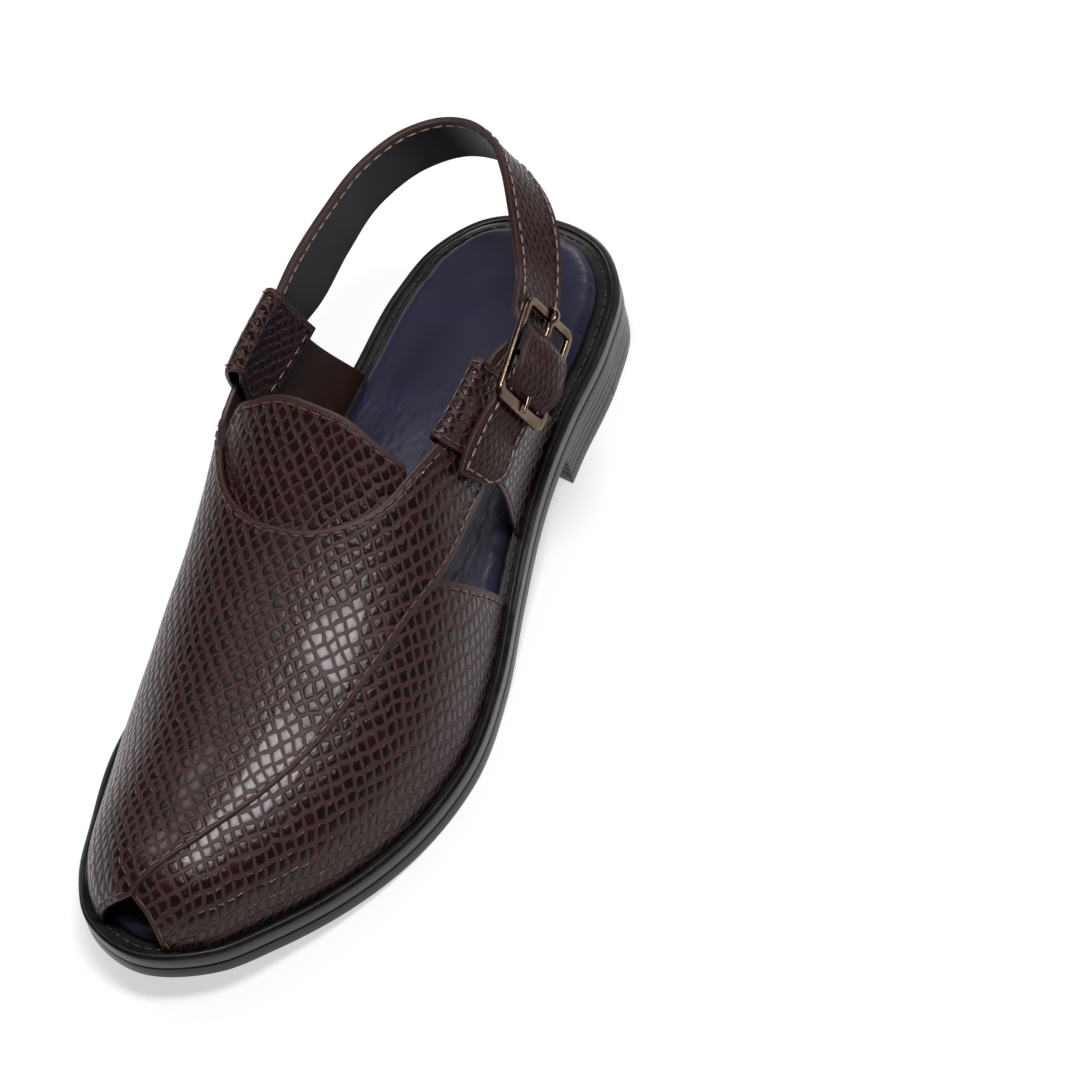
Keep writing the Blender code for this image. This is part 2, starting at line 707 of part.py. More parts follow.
def add_quarter(name, side, top_place, tops):
    ear = WALL / 2
    grid = []
    for s in np.linspace(0, 1, 9):
        foot = QUARTER_FOOT[0] + (QUARTER_FOOT[1] - QUARTER_FOOT[0]) * s
        top = top_place[0] + (top_place[1] - top_place[0]) * s
        high = tops[0] + (tops[1] - tops[0]) * s
        low = float(sole_level((foot - 0.5) * LENGTH)) + WELT_TOP
        column = []
        for k in np.linspace(0, 1, 9):
            share = foot + (top - foot) * k - QUARTER_WAIST * math.sin(math.pi * k) * (1 - 2 * s)
            z = low + (high - low) * k
            out = LOOP_WALL / 2 + (ear + LOOP_RADIUS - LOOP_WALL / 2) * ease(z, *EAR_RISE)
            column.append(side_point(side, share, z, out))
        base = side_point(side, top, high, 0.0)
        out = side_point(side, top, high, mm) - base
        out /= np.linalg.norm(out)
        up = side_point(side, top, high + mm, 0.0) - base
        up -= out * (up @ out)
        up /= np.linalg.norm(up)
        for turn in np.radians((45, 90, 135, 180)):
            column.append(base + out * (ear + LOOP_RADIUS * math.cos(turn))
                          + up * LOOP_RADIUS * math.sin(turn))
        for depth in (FLAP_DEPTH / 3, FLAP_DEPTH * 2 / 3, FLAP_DEPTH):
            share = top + (foot - top) * depth / (high - low)
            column.append(side_point(side, share, high - depth, ear - LOOP_RADIUS))
        grid.append(column)
    sheet(name, np.array(grid), LOOP_WALL, LEATHER)


# The heel strap and its buckle

BUCKLE_DOWN = np.cross(BUCKLE_OUT, BUCKLE_ALONG)


def buckle_point(along, down, out):
    return BUCKLE_CENTRE + BUCKLE_ALONG * along + BUCKLE_DOWN * down + BUCKLE_OUT * out


def in_opening(share):
    return OPENING_START + (OPENING_END - OPENING_START) * share


def strap_grid():
    across = np.linspace(0, 1, 5)
    rows = []
    for share, top, low in STRAP_START:
        heights = (top + (low - top) * across) * mm
        rows.append(side_point(-1, np.full(5, share), heights, WALL / 2))
    for top, low in STRAP_RAILS:
        rows.append((np.array(top) + (np.array(low) - np.array(top)) * across[:, None]) * mm)
    for along, out, top, low in STRAP_THREAD:
        place = in_opening(along)
        downs = STRAP_WIDTH * ((top + low) * across - top)
        rows.append([buckle_point(place, down, out * mm) for down in downs])
    for top_share, low_share, top, low in TAIL:
        share = top_share + (low_share - top_share) * across
        heights = (top + (low - top) * across) * mm
        rows.append(side_point(1, share, heights, TAIL_OFFSET))
    rows = np.array(rows)
    knots = lengths(rows[:, 2])
    at = np.concatenate([np.linspace(a, b, 4, endpoint=False) if b - a > 6 * mm
                         else np.linspace(a, b, 2, endpoint=False)
                         for a, b in zip(knots[:-1], knots[1:])] + [knots[-1:]])
    return np.stack([hermite(knots, rows[:, c], at) for c in range(5)], axis=1)


def cutter(name, along, half, out):
    # a block in the buckle's own axes
    corners = [buckle_point(in_opening(a), d, o) for a in along for d in (-half, half)
               for o in out]
    faces = [(0, 1, 3, 2), (4, 6, 7, 5), (0, 4, 5, 1), (2, 3, 7, 6), (0, 2, 6, 4), (1, 5, 7, 3)]
    return add_object(name, corners, faces, LEATHER, smooth=False)


def add_strap():
    strap = sheet("heel_strap", strap_grid(), STRAP_WALL, LEATHER)
    combine(strap, cutter("prong_slot", *PRONG_SLOT), "DIFFERENCE")
    combine(strap, cutter("prong_hole", *PRONG_HOLE), "DIFFERENCE")


def rounded_frame(half_along, half_down, radius, shift=0.0):
    points = []
    for quarter in range(4):
        ca = (1, -1, -1, 1)[quarter] * (half_along - radius)
        cd = (1, 1, -1, -1)[quarter] * (half_down - radius)
        for turn in np.linspace(0, math.pi / 2, 5) + quarter * math.pi / 2:
            points.append((ca + radius * math.cos(turn) + shift, cd + radius * math.sin(turn)))
    return points


def add_buckle():
    outer = rounded_frame(BUCKLE_LENGTH / 2, BUCKLE_WIDTH / 2, OUTER_CORNER)
    half = (OPENING_END - OPENING_START) / 2
    middle = (OPENING_END + OPENING_START) / 2
    inner = rounded_frame(half, BUCKLE_WIDTH / 2 - SIDE_BAR, INNER_CORNER, middle)
    rings = []
    for (a1, d1), (a2, d2) in zip(outer, inner):
        ring = []
        for turn in np.linspace(0, 2 * math.pi, 8, endpoint=False) + math.pi / 8:
            c = math.copysign(abs(math.cos(turn)) ** 0.7, math.cos(turn)) / 2 + 0.5
            o = math.copysign(abs(math.sin(turn)) ** 0.7, math.sin(turn)) * FRAME_THICKNESS / 2
            ring.append(buckle_point(a2 + (a1 - a2) * c, d2 + (d1 - d2) * c, o))
        rings.append(ring)
    frame = tube("buckle_frame", rings, BRASS, closed=True)
    rings = []
    reach = BUCKLE_WIDTH / 2 - SIDE_BAR / 2
    for down in (-reach, reach):
        rings.append([buckle_point(HIDDEN_BAR / 2 * math.cos(t), down,
                                   -HIDDEN_BAR_DROP + HIDDEN_BAR / 2 * math.sin(t))
                      for t in np.linspace(0, 2 * math.pi, 8, endpoint=False)])
    combine(frame, tube("hidden_bar", rings, BRASS), "UNION")


def add_prong():
    # a wire hooked round the heel-side bar, its tip resting on the toe-side bar
    bar = -(BUCKLE_LENGTH - HEEL_BAR) / 2
    turn_radius = HEEL_BAR / 2 + 0.35 * mm + PRONG / 2
    path = [(bar + turn_radius * math.cos(t), turn_radius * math.sin(t))
            for t in np.radians(np.linspace(-62, -325, 9))]
    rest = FRAME_THICKNESS / 2 + GAP + PRONG / 2
    path += [(in_opening(along), out * mm) for along, out in PRONG_PATH]
    path.append((BUCKLE_LENGTH / 2 - PRONG_REST, rest))
    path = np.array(path)
    along = np.gradient(path, axis=0)
    along /= np.linalg.norm(along, axis=1)[:, None]
    rings = []
    for (a, o), (da, do) in zip(path, along):
        ring = []
        for t in np.linspace(0, 2 * math.pi, 8, endpoint=False):
            side = PRONG / 2 * math.cos(t)
            ring.append(buckle_point(a - do * side, PRONG / 2 * math.sin(t), o + da * side))
        rings.append(ring)
    tube("buckle_prong", rings, BRASS)


add_outsole()
add_heel()
add_welt()
add_footbed()
add_vamp()
add_quarter("quarter_inner", -1, INNER_QUARTER_TOP, INNER_LOOP_TOP)
add_quarter("quarter_outer", 1, OUTER_QUARTER_TOP, OUTER_LOOP_TOP)
add_strap()
add_buckle()
add_prong()
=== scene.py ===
# Looks of the left peshawari chappal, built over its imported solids.
# Metres, +X to the toe, +Y to the outer side, +Z up.
import math

import bmesh
import bpy
import numpy as np
from mathutils import Matrix, Vector
from mathutils.geometry import delaunay_2d_cdt


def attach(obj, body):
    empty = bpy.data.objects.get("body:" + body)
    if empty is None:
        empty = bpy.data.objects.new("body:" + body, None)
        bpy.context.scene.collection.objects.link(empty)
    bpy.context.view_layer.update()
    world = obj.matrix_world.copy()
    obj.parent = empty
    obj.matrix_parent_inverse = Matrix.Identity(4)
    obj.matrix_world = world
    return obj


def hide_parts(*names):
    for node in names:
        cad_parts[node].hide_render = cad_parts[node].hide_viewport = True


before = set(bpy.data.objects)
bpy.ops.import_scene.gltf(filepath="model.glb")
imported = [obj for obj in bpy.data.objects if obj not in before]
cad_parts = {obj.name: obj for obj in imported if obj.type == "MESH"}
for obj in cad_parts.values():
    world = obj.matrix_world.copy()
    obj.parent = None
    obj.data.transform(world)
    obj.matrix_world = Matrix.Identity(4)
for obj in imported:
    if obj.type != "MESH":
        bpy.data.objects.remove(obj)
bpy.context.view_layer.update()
mm = 0.001

# The last and the sole, the same shape as the solids stand on
sole = {
    "length": 292 * mm,
    "ballWidth": 108 * mm,
    "heelHeight": 12.9 * mm,
    "toeSpring": 11.2 * mm,
    "instepHeight": 78 * mm,
    "breast": 0.277,
    "waistEnd": 0.62,
    "toeStart": 0.72,
    "outsole": 4.6 * mm,
    "weltTop": 9.3 * mm,
    "beadTop": 10.3 * mm,
    "channel": 8.8 * mm,
    "footbedBase": 9.1 * mm,
    "topPiece": 5.0 * mm,
    "feather": 5.2 * mm,
    "weltInner": 8.2 * mm,
    "footbedInset": 6.9 * mm,
    "outline": [  # along, outer half, inner half
        (0.020, 0.174, 0.214), (0.070, 0.285, 0.316), (0.140, 0.330, 0.355),
        (0.250, 0.348, 0.352), (0.360, 0.381, 0.351), (0.460, 0.433, 0.379),
        (0.560, 0.494, 0.429), (0.660, 0.526, 0.476), (0.760, 0.481, 0.478),
        (0.850, 0.382, 0.415), (0.920, 0.263, 0.346), (0.970, 0.152, 0.246),
    ],
    "heelTip": -0.031,
    "toeTip": -0.042,
    "sections": [  # along, crown, ridge, outer bulge, inner bulge
        (0.30, 1.465, -0.059, 0.016, 0.106), (0.38, 1.233, -0.063, 0.016, 0.108),
        (0.46, 1.000, -0.068, 0.015, 0.105), (0.54, 0.815, -0.071, 0.012, 0.070),
        (0.62, 0.682, -0.073, 0.009, 0.027), (0.70, 0.582, -0.067, 0.006, -0.020),
        (0.78, 0.485, -0.060, 0.003, -0.047), (0.86, 0.391, -0.053, 0.001, -0.020),
        (0.93, 0.299, -0.044, 0.000, -0.004), (1.00, 0.220, -0.042, 0.000, 0.000),
    ],
    "sectionPower": 0.91,
    "toeRound": 20 * mm,
    "toeBlend": 0.05,
}


def hermite(knots, values, at):
    knots = np.asarray(knots, float)
    values = np.asarray(values, float)
    step = np.diff(knots)
    slope = (np.diff(values, axis=0).T / step).T
    tangent = np.empty_like(values)
    tangent[0] = slope[0]
    tangent[-1] = slope[-1]
    before = (slope[:-1].T * step[1:]).T
    after = (slope[1:].T * step[:-1]).T
    tangent[1:-1] = ((before + after).T / (step[1:] + step[:-1])).T
    k = np.clip(np.searchsorted(knots, at, side="right") - 1, 0, len(step) - 1)
    h = step[k]
    t = np.clip((at - knots[k]) / h, 0, 1)
    weights = (2 * t**3 - 3 * t**2 + 1, (t**3 - 2 * t**2 + t) * h,
               -2 * t**3 + 3 * t**2, (t**3 - t**2) * h)
    parts = (values[k], tangent[k], values[k + 1], tangent[k + 1])
    return sum((part.T * weight).T for part, weight in zip(parts, weights))


def lengths(line):
    return np.r_[0, np.cumsum(np.linalg.norm(np.diff(line, axis=0), axis=1))]


def pointAt(run, line, places):
    # the line's points at the given lengths along it
    return np.stack([np.interp(places, run, line[:, c]) for c in range(line.shape[1])], axis=-1)


def unit(vectors):
    return vectors / np.linalg.norm(vectors, axis=-1, keepdims=True)


def smoothLine(points, spacing):
    pts = np.array(points, float)
    if len(pts) > 2:
        knots = lengths(pts)
        pts = hermite(knots, pts, np.linspace(0, knots[-1], 40 * len(pts)))
    run = lengths(pts)
    count = max(int(round(run[-1] / spacing)), 1)
    return pointAt(run, pts, np.linspace(0, run[-1], count + 1))


def smoothRing(points, count):
    wrapped = np.vstack([points[-3:], points, points[:3]])
    knots = lengths(wrapped)
    fine = hermite(knots, wrapped, np.linspace(knots[3], knots[3 + len(points)], 60 * len(points)))
    run = lengths(fine)
    return pointAt(run, fine, np.linspace(0, run[-1], count, endpoint=False))


def leftOf(along):
    # unit vectors to the left of flat directions
    along = unit(along)
    return np.stack([-along[:, 1], along[:, 0]], axis=1)


def insetRing(ring, distance):
    inward = leftOf(np.roll(ring, -1, 0) - np.roll(ring, 1, 0))
    return ring + inward * np.reshape(distance, (-1, 1))


def ease(value, start, end):
    t = np.clip((np.asarray(value, float) - start) / (end - start), 0, 1)
    return t * t * (3 - 2 * t)


def shareOf(x):
    return np.asarray(x, float) / sole["length"] + 0.5


def placeOf(share):
    return (np.asarray(share, float) - 0.5) * sole["length"]


def soleLevel(x):
    # height of the outsole's underside: heel seat, waist, flat tread and toe spring
    share = shareOf(x)
    fall = (share - sole["breast"] + 0.007) / (sole["waistEnd"] - sole["breast"] + 0.007)
    waist = sole["heelHeight"] * 0.5 * (1 + np.cos(np.pi * np.clip(fall, 0, 1)))
    rise = np.clip((share - sole["toeStart"]) / (1 - sole["toeStart"]), 0, None)
    return waist + sole["toeSpring"] * rise**1.8


outlineShare, outerHalf, innerHalf = np.array(sole["outline"]).T
outline = np.vstack([
    (-0.5, sole["heelTip"]), np.column_stack([outlineShare - 0.5, -innerHalf]),
    (0.5, sole["toeTip"]), np.column_stack([outlineShare - 0.5, outerHalf])[::-1],
]) * (sole["length"], sole["ballWidth"])
edgeLine = smoothRing(outline, 400)
centreLine = -(edgeLine[:, 1].min() + edgeLine[:, 1].max()) / 2
featherRing = insetRing(edgeLine, sole["feather"])
heelEnd = featherRing[:, 0].argmin()
toeEnd = featherRing[:, 0].argmax()
featherTurned = np.roll(featherRing, -heelEnd, 0)
toeIndex = (toeEnd - heelEnd) % len(featherRing)
innerFeather = featherTurned[:toeIndex + 1]
outerFeather = np.vstack([featherTurned[toeIndex:], featherTurned[:1]])[::-1]
lastHeel = featherRing[heelEnd, 0]
lastToe = featherRing[toeEnd, 0]


toeBlend = sole["toeBlend"]
toeScale = math.hypot(1, toeBlend) - toeBlend


def runOf(share):
    rest = (lastToe - placeOf(share)) / (lastToe - lastHeel) * toeScale + toeBlend
    return 1 - np.sqrt(np.clip(rest**2 - toeBlend**2, 0, None))


def xOf(run):
    part = (np.sqrt((1 - np.asarray(run, float)) ** 2 + toeBlend**2) - toeBlend) / toeScale
    return lastToe - (lastToe - lastHeel) * part


def section(share):
    rows = np.array(sole["sections"])
    at = np.clip(share, rows[0, 0], rows[-1, 0])
    values = hermite(rows[:, 0], rows[:, 1:], np.ravel(at)).reshape(np.shape(at) + (4,))
    crown, ridge, outer, inner = np.moveaxis(values, -1, 0)
    wide = sole["ballWidth"]
    return crown * sole["instepHeight"], ridge * wide, outer * wide, inner * wide


def bareLast(run, angle):
    run, angle = np.broadcast_arrays(np.asarray(run, float), np.asarray(angle, float))
    x = xOf(run)
    crown, ridge, outerBulge, innerBulge = section(shareOf(x))
    tip = np.clip(1 - (lastToe - x) / sole["toeRound"], 0, 1)
    crown = crown * np.sqrt(np.clip(1 - tip**2, 0, 1))
    outer = np.interp(x, outerFeather[:, 0], outerFeather[:, 1])
    inner = np.interp(x, innerFeather[:, 0], innerFeather[:, 1])
    side = np.abs(np.sin(angle)) ** sole["sectionPower"]
    swell = np.sin(2 * np.abs(angle))
    y = np.where(angle > 0, ridge + (outer - ridge) * side + outerBulge * swell,
                 ridge + (inner - ridge) * side - innerBulge * swell)
    up = np.clip(np.cos(angle), 0, 1) ** sole["sectionPower"]
    z = soleLevel(x) + sole["weltTop"] + crown * up
    return np.stack([x, y, z], axis=-1)


def lastNormal(run, angle):
    e = 1e-3
    limit = math.pi / 2
    ahead = bareLast(np.clip(np.add(run, e), 0, 1), angle)
    behind = bareLast(np.clip(np.subtract(run, e), 0, 1), angle)
    left = bareLast(run, np.clip(np.add(angle, e), -limit, limit))
    right = bareLast(run, np.clip(np.subtract(angle, e), -limit, limit))
    return unit(np.cross(ahead - behind, left - right))


def lastPoint(run, angle, offset):
    raised = np.asarray(offset, float)[..., None]
    return bareLast(run, angle) + lastNormal(run, angle) * raised


def sidePoint(side, share, z, offset):
    # a place on the last's side at a given height
    up = np.clip((z - soleLevel(placeOf(share)) - sole["weltTop"]) / section(share)[0], 0, 1)
    return lastPoint(runOf(share), side * np.arccos(up ** (1 / sole["sectionPower"])), offset)


# Shader sums are written as Python sums
class Signal:
    def __init__(self, finish, socket):
        self.finish = finish
        self.socket = socket

    def maths(self, operation, *others):
        inputs = dict(enumerate((self,) + others))
        return self.finish.node("ShaderNodeMath", inputs, operation=operation)

    def __add__(self, other):
        return self.maths("ADD", other)

    __radd__ = __add__

    def __sub__(self, other):
        return self.maths("SUBTRACT", other)

    def __rsub__(self, other):
        return self.maths("MULTIPLY", -1.0) + other

    def __mul__(self, other):
        return self.maths("MULTIPLY", other)

    __rmul__ = __mul__


class Finish:
    def __init__(self, name, **fixed):
        self.material = bpy.data.materials.new(name)
        self.material.use_nodes = True
        self.tree = self.material.node_tree
        self.shader = self.tree.nodes["Principled BSDF"]
        self.set(**fixed)

    def node(self, kind, inputs=None, out=0, **settings):
        made = self.tree.nodes.new(kind)
        for key, value in settings.items():
            setattr(made, key, value)
        for key, value in (inputs or {}).items():
            self.feed(made.inputs[key], value)
        return Signal(self, made.outputs[out])

    def feed(self, socket, value):
        if isinstance(value, Signal):
            self.tree.links.new(value.socket, socket)
        elif isinstance(value, tuple) and len(value) == 3 and socket.type == "RGBA":
            socket.default_value = (*value, 1)
        else:
            socket.default_value = value

    def set(self, **sockets):
        # baseColor sets the socket called Base Color
        for name, value in sockets.items():
            words = "".join(" " + c if c.isupper() else c for c in name)
            self.feed(self.shader.inputs[words.title().replace("Ior", "IOR")], value)

    def step(self, value, start, end):
        return self.node("ShaderNodeMapRange",
                         {"Value": value, "From Min": start, "From Max": end},
                         interpolation_type="SMOOTHSTEP")

    def mix(self, share, a, b):
        return self.node("ShaderNodeMix", {0: share, 6: a, 7: b}, out=2, data_type="RGBA")

    def place(self):
        # centimetres on the piece
        return self.stretch(self.node("ShaderNodeTexCoord", out=3), (100, 100, 100))

    def stretch(self, vector, scale, turn=(0, 0, 0)):
        return self.node("ShaderNodeMapping", {"Vector": vector, "Scale": scale, "Rotation": turn})

    def noise(self, vector, scale, detail=3.0, rough=0.55, out=0):
        return self.node("ShaderNodeTexNoise", {"Vector": vector, "Scale": scale,
                         "Detail": detail, "Roughness": rough}, out=out)

    def bump(self, height, depth):
        return self.node("ShaderNodeBump", {"Height": height, "Distance": depth, "Strength": 1.0})

    def paint(self, share, dark, light, rough, height, depth):
        # two colours mixed by share, with a gloss and a relief that vary
        self.set(baseColor=self.mix(share, dark, light), roughness=rough,
                 normal=self.bump(height, depth))
        return self.material


def shade(colour, times):
    return tuple(c * times for c in colour)


hide = {
    "cellLong": 5.8,       # mm, the cells' two diagonals
    "cellWide": 4.9,
    "unevenness": 0.24,
    "wobble": 0.352,       # cm, the most that a cell is pushed about
    "netWidth": (0.105, 0.165),
    "cornerRound": (0.52, 0.45),
    "cellColour": (0.0095, 0.0036, 0.0040),
    "cellRed": (0.024, 0.0058, 0.0062),
    "netColour": (0.042, 0.0158, 0.0138),
    "seamEdgeDarkColour": (0.034, 0.0135, 0.0120),
    "cellRoughness": 0.13,
    "netRoughness": 0.50,
    "relief": 0.42 * mm,
    "gloss": 0.35,
}


def makeHide(name, cellLong=hide["cellLong"], cellWide=hide["cellWide"], relief=hide["relief"],
             gloss=hide["gloss"]):
    # snake-embossed leather: polished cells in a matt net, laid by the piece's own hide map
    f = Finish(name, specularIorLevel=gloss)
    uv = f.node("ShaderNodeUVMap", uv_map="hide")
    sway = f.noise(uv, 0.9, 2.0, out=1)
    centred = f.node("ShaderNodeVectorMath", {0: sway, 1: (0.5, 0.5, 0.5)}, operation="SUBTRACT")
    small = f.node("ShaderNodeVectorMath", {0: centred, "Scale": hide["wobble"]},
                   operation="SCALE")
    swayed = f.node("ShaderNodeVectorMath", {0: uv, 1: small}, operation="ADD")
    diamond = 10 * math.sqrt(2)
    lattice = f.stretch(swayed, (diamond / cellLong, diamond / cellWide, 1),
                        (0, 0, math.radians(45)))
    gap, reach, tone = (
        f.node("ShaderNodeTexVoronoi",
               {"Vector": lattice, "Scale": 1.0, "Randomness": hide["unevenness"]}, out,
               voronoi_dimensions="2D", feature=feature)
        for out, feature in ((0, "DISTANCE_TO_EDGE"), (0, "F1"), (1, "F1")))
    toneParts = f.node("ShaderNodeSeparateColor", {0: tone})
    uneven = f.noise(uv, 14.0, 3.0)
    edgeFar = f.node("ShaderNodeAttribute", out=2, attribute_name="seamDistance")
    folded = f.step(edgeFar, 0.9, 1.9)
    net = gap + (uneven - 0.5) * 0.035
    cell = f.step(net, *hide["netWidth"]) * f.step(reach, *hide["cornerRound"])
    cell = cell * f.step(edgeFar, 0.9, 1.7)
    crinkle = f.noise(uv, 32.0, 5.0, 0.6)
    fine = f.noise(uv, 90.0, 2.0)
    dish = f.step(gap, 0.10, 0.42)
    groove = f.step((edgeFar - 1.7).maths("ABSOLUTE"), 0.0, 0.5)
    height = (f.step(net, hide["netWidth"][0] - 0.03, hide["netWidth"][1] + 0.03)
              * f.step(reach, hide["cornerRound"][0] + 0.04, hide["cornerRound"][1] - 0.02)
              * folded * 0.9
              + cell * dish * 0.24 + (crinkle - 0.5) * 0.18 + (fine - 0.5) * 0.05
              + groove * 0.7)
    red = f.step(toneParts, 0.35, 0.95) * 0.8
    cellColour = f.mix(red, hide["cellColour"], hide["cellRed"])
    netColour = f.mix(f.step(uneven, 0.3, 0.7), shade(hide["netColour"], 0.75),
                      shade(hide["netColour"], 1.2))
    # the net is darker within about a millimetre of a seam edge
    netColour = f.mix(f.step(edgeFar, 0.1, 1.1), hide["seamEdgeDarkColour"], netColour)
    rough = f.mix(cell, (hide["netRoughness"],) * 3, (hide["cellRoughness"],) * 3)
    rough = f.node("ShaderNodeSeparateColor", {0: rough}) + (crinkle - 0.5) * 0.18
    f.set(coatRoughness=0.08, coatWeight=cell * 0.4 * gloss)
    return f.paint(cell, netColour, cellColour, rough, height, relief)


def makeSmooth(name, colour, rough, relief=0.06 * mm):
    # plain leather with a fine grain
    f = Finish(name)
    cloud = f.noise(f.place(), 0.7)
    pores = f.noise(f.place(), 60.0, 4.0, 0.6)
    return f.paint(f.step(cloud, 0.3, 0.7), shade(colour, 0.75), shade(colour, 1.25),
                   rough + (pores - 0.5) * 0.16, pores, relief)


def makeFootbed():
    f = Finish("navy footbed leather", specularIorLevel=0.35)
    place = f.place()
    grain = f.noise(place, 22.0, 5.0, 0.62)
    cloud = f.noise(place, 0.5, 2.0)
    # soft creases run across the waist towards the outer edge
    bent = f.noise(f.stretch(place, (0.35, 0.9, 1), (0, 0, math.radians(28))), 1.3, 3.0, 0.5)
    x = f.node("ShaderNodeSeparateXYZ", {0: place})
    where = f.step(x, -8.5, -5.5) * f.step(x, 2.0, -1.5)
    crease = f.step((bent - 0.5).maths("ABSOLUTE"), 0.0, 0.16)
    return f.paint(f.step(cloud, 0.3, 0.75), (0.0130, 0.0130, 0.0310), (0.0190, 0.0190, 0.0430),
                   0.40 + (grain - 0.5) * 0.22, grain * 0.07 + crease * where * 0.5, 0.45 * mm)


def makeEdge():
    # painted and waxed sole edge with faint streaks along its layers
    f = Finish("black sole edge", specularIorLevel=0.38)
    streak = f.noise(f.stretch(f.place(), (0.6, 0.6, 14.0)), 1.6, 4.0, 0.6)
    spots = f.noise(f.place(), 26.0)
    return f.paint(f.step(streak, 0.35, 0.7), (0.0075, 0.0070, 0.0070), (0.0190, 0.0175, 0.0170),
                   0.34 + (streak - 0.5) * 0.12 + (spots - 0.5) * 0.08,
                   streak * 0.6 + spots * 0.15, 0.05 * mm)


def makeSoleLeather():
    f = Finish("burgundy sole leather")
    fibre = f.noise(f.stretch(f.place(), (0.5, 2.2, 1)), 3.0, 5.0, 0.6)
    cloud = f.noise(f.place(), 0.35)
    pores = f.noise(f.place(), 55.0)
    return f.paint(f.step(cloud, 0.3, 0.75), (0.105, 0.0095, 0.0115), (0.165, 0.0165, 0.0185),
                   0.42 + (fibre - 0.5) * 0.2, fibre * 0.2 + pores * 0.2, 0.10 * mm)


def makeRubber(name, knurl=0.0):
    f = Finish(name)
    spots = f.noise(f.place(), 30.0)
    height = spots * 0.15
    if knurl:
        # small diamonds across the rubber, pitch in mm
        turned = f.stretch(f.place(), (10 / knurl, 10 / knurl, 1), (0, 0, math.radians(45)))
        waves = [f.node("ShaderNodeSeparateXYZ", {0: turned}, axis).maths("PINGPONG", 0.5)
                 for axis in (0, 1)]
        height = height + f.step(waves[0] * 2.0, 0.08, 0.5) * f.step(waves[1] * 2.0, 0.08, 0.5)
    return f.paint(spots, (0.0075, 0.0075, 0.0075), (0.015, 0.0145, 0.0145),
                   0.55 + (spots - 0.5) * 0.2, height, 0.45 * mm)


def makeBrass():
    f = Finish("antique brass", metallic=1.0)
    brushed = f.noise(f.stretch(f.place(), (1.5, 18, 18)), 2.2, 4.0, 0.6)
    worn = f.noise(f.place(), 1.6, 4.0, 0.6)
    return f.paint(f.step(worn, 0.35, 0.7), (0.110, 0.076, 0.055), (0.200, 0.138, 0.098),
                   0.22 + (brushed - 0.5) * 0.14, brushed, 0.03 * mm)


def makeThread(name, colour):
    f = Finish(name)
    twist = f.noise(f.stretch(f.place(), (1, 1, 1), (0.5, 0.4, 0.3)), 30.0, 2.0)
    return f.paint(twist, shade(colour, 0.6), shade(colour, 1.5), 0.34, twist, 0.1 * mm)


finishes = {
    "hide": makeHide("snake embossed leather"),
    "tongueHide": makeHide("tongue leather", 4.8, 4.5),
    "strapHide": makeHide("strap leather", 5.6, 2.7, 0.3 * mm, 0.08),
    "loopHide": makeHide("loop leather", 5.2, 5.0),
    "lining": makeSmooth("smooth brown lining", (0.030, 0.0120, 0.0085), 0.40),
    "strapLining": makeSmooth("navy strap lining", (0.0050, 0.0046, 0.0085), 0.50),
    "cutEdge": makeSmooth("painted leather edge", (0.030, 0.0135, 0.0115), 0.45),
    "turnedEdge": makeSmooth("turned leather edge", (0.045, 0.0190, 0.0150), 0.42,
                             0.12 * mm),
    "footbed": makeFootbed(),
    "edge": makeEdge(),
    "soleLeather": makeSoleLeather(),
    "rubber": makeRubber("black rubber"),
    "knurled": makeRubber("knurled rubber", 1.6),
    "board": makeSmooth("insole board", (0.05, 0.04, 0.03), 0.8),
    "brass": makeBrass(),
    "thread": makeThread("brown thread", (0.120, 0.066, 0.056)),
    # the strap's stitches use the brown thread made lighter, a painted sheen for the light they
    # catch
    "strapThread": makeThread("brown thread with painted sheen", (0.18, 0.135, 0.125)),
    "weltThread": makeThread("black thread", (0.018, 0.018, 0.021)),
}
print("finishes made")


# Modelling helpers

def only(ob):
    bpy.ops.object.select_all(action="DESELECT")
    ob.select_set(True)
    bpy.context.view_layer.objects.active = ob


def makeMesh(name, verts, faces, finish, maps=None, values=None):
    # maps are uv pairs for each point, values are named numbers for each point
    mesh = bpy.data.meshes.new(name)
    placed = np.asarray(verts, float) + (0, centreLine, 0)
    mesh.from_pydata([tuple(v) for v in placed], [], [tuple(int(i) for i in f) for f in faces])
    corner = np.empty(len(mesh.loops), int)
    mesh.loops.foreach_get("vertex_index", corner)
    for key, pairs in (maps or {}).items():
        layer = mesh.uv_layers.new(name=key)
        layer.data.foreach_set("uv", np.asarray(pairs, float)[corner].ravel())
    for key, numbers in (values or {}).items():
        layer = mesh.attributes.new(key, "FLOAT", "POINT")
        layer.data.foreach_set("value", np.asarray(numbers, float))
    for one in [finish] if isinstance(finish, str) else finish:
        mesh.materials.append(finishes[one])
    ob = bpy.data.objects.new(name, mesh)
    bpy.context.scene.collection.objects.link(ob)
    mesh.shade_smooth()
    return ob


def editAll(ob):
    only(ob)
    bpy.ops.object.mode_set(mode="EDIT")
    bpy.ops.mesh.select_all(action="SELECT")


def extrudeUp(ob, height):
    editAll(ob)
    bpy.ops.mesh.extrude_region_move(TRANSFORM_OT_translate={"value": (0, 0, height)})
    bpy.ops.object.mode_set(mode="OBJECT")


def faceOutwards(ob):
    editAll(ob)
    bpy.ops.mesh.normals_make_consistent(inside=False)
    bpy.ops.object.mode_set(mode="OBJECT")


def addModifier(ob, kind, **settings):
    mod = ob.modifiers.new(kind.title(), kind)
    for key, value in settings.items():
        setattr(mod, key, value)


def addBevel(ob, width, segments=2):
    addModifier(ob, "BEVEL", width=width, segments=segments, limit_method="ANGLE",
                angle_limit=math.radians(50))


def applyAll(ob):
    only(ob)
    for mod in list(ob.modifiers):
        bpy.ops.object.modifier_apply(modifier=mod.name)


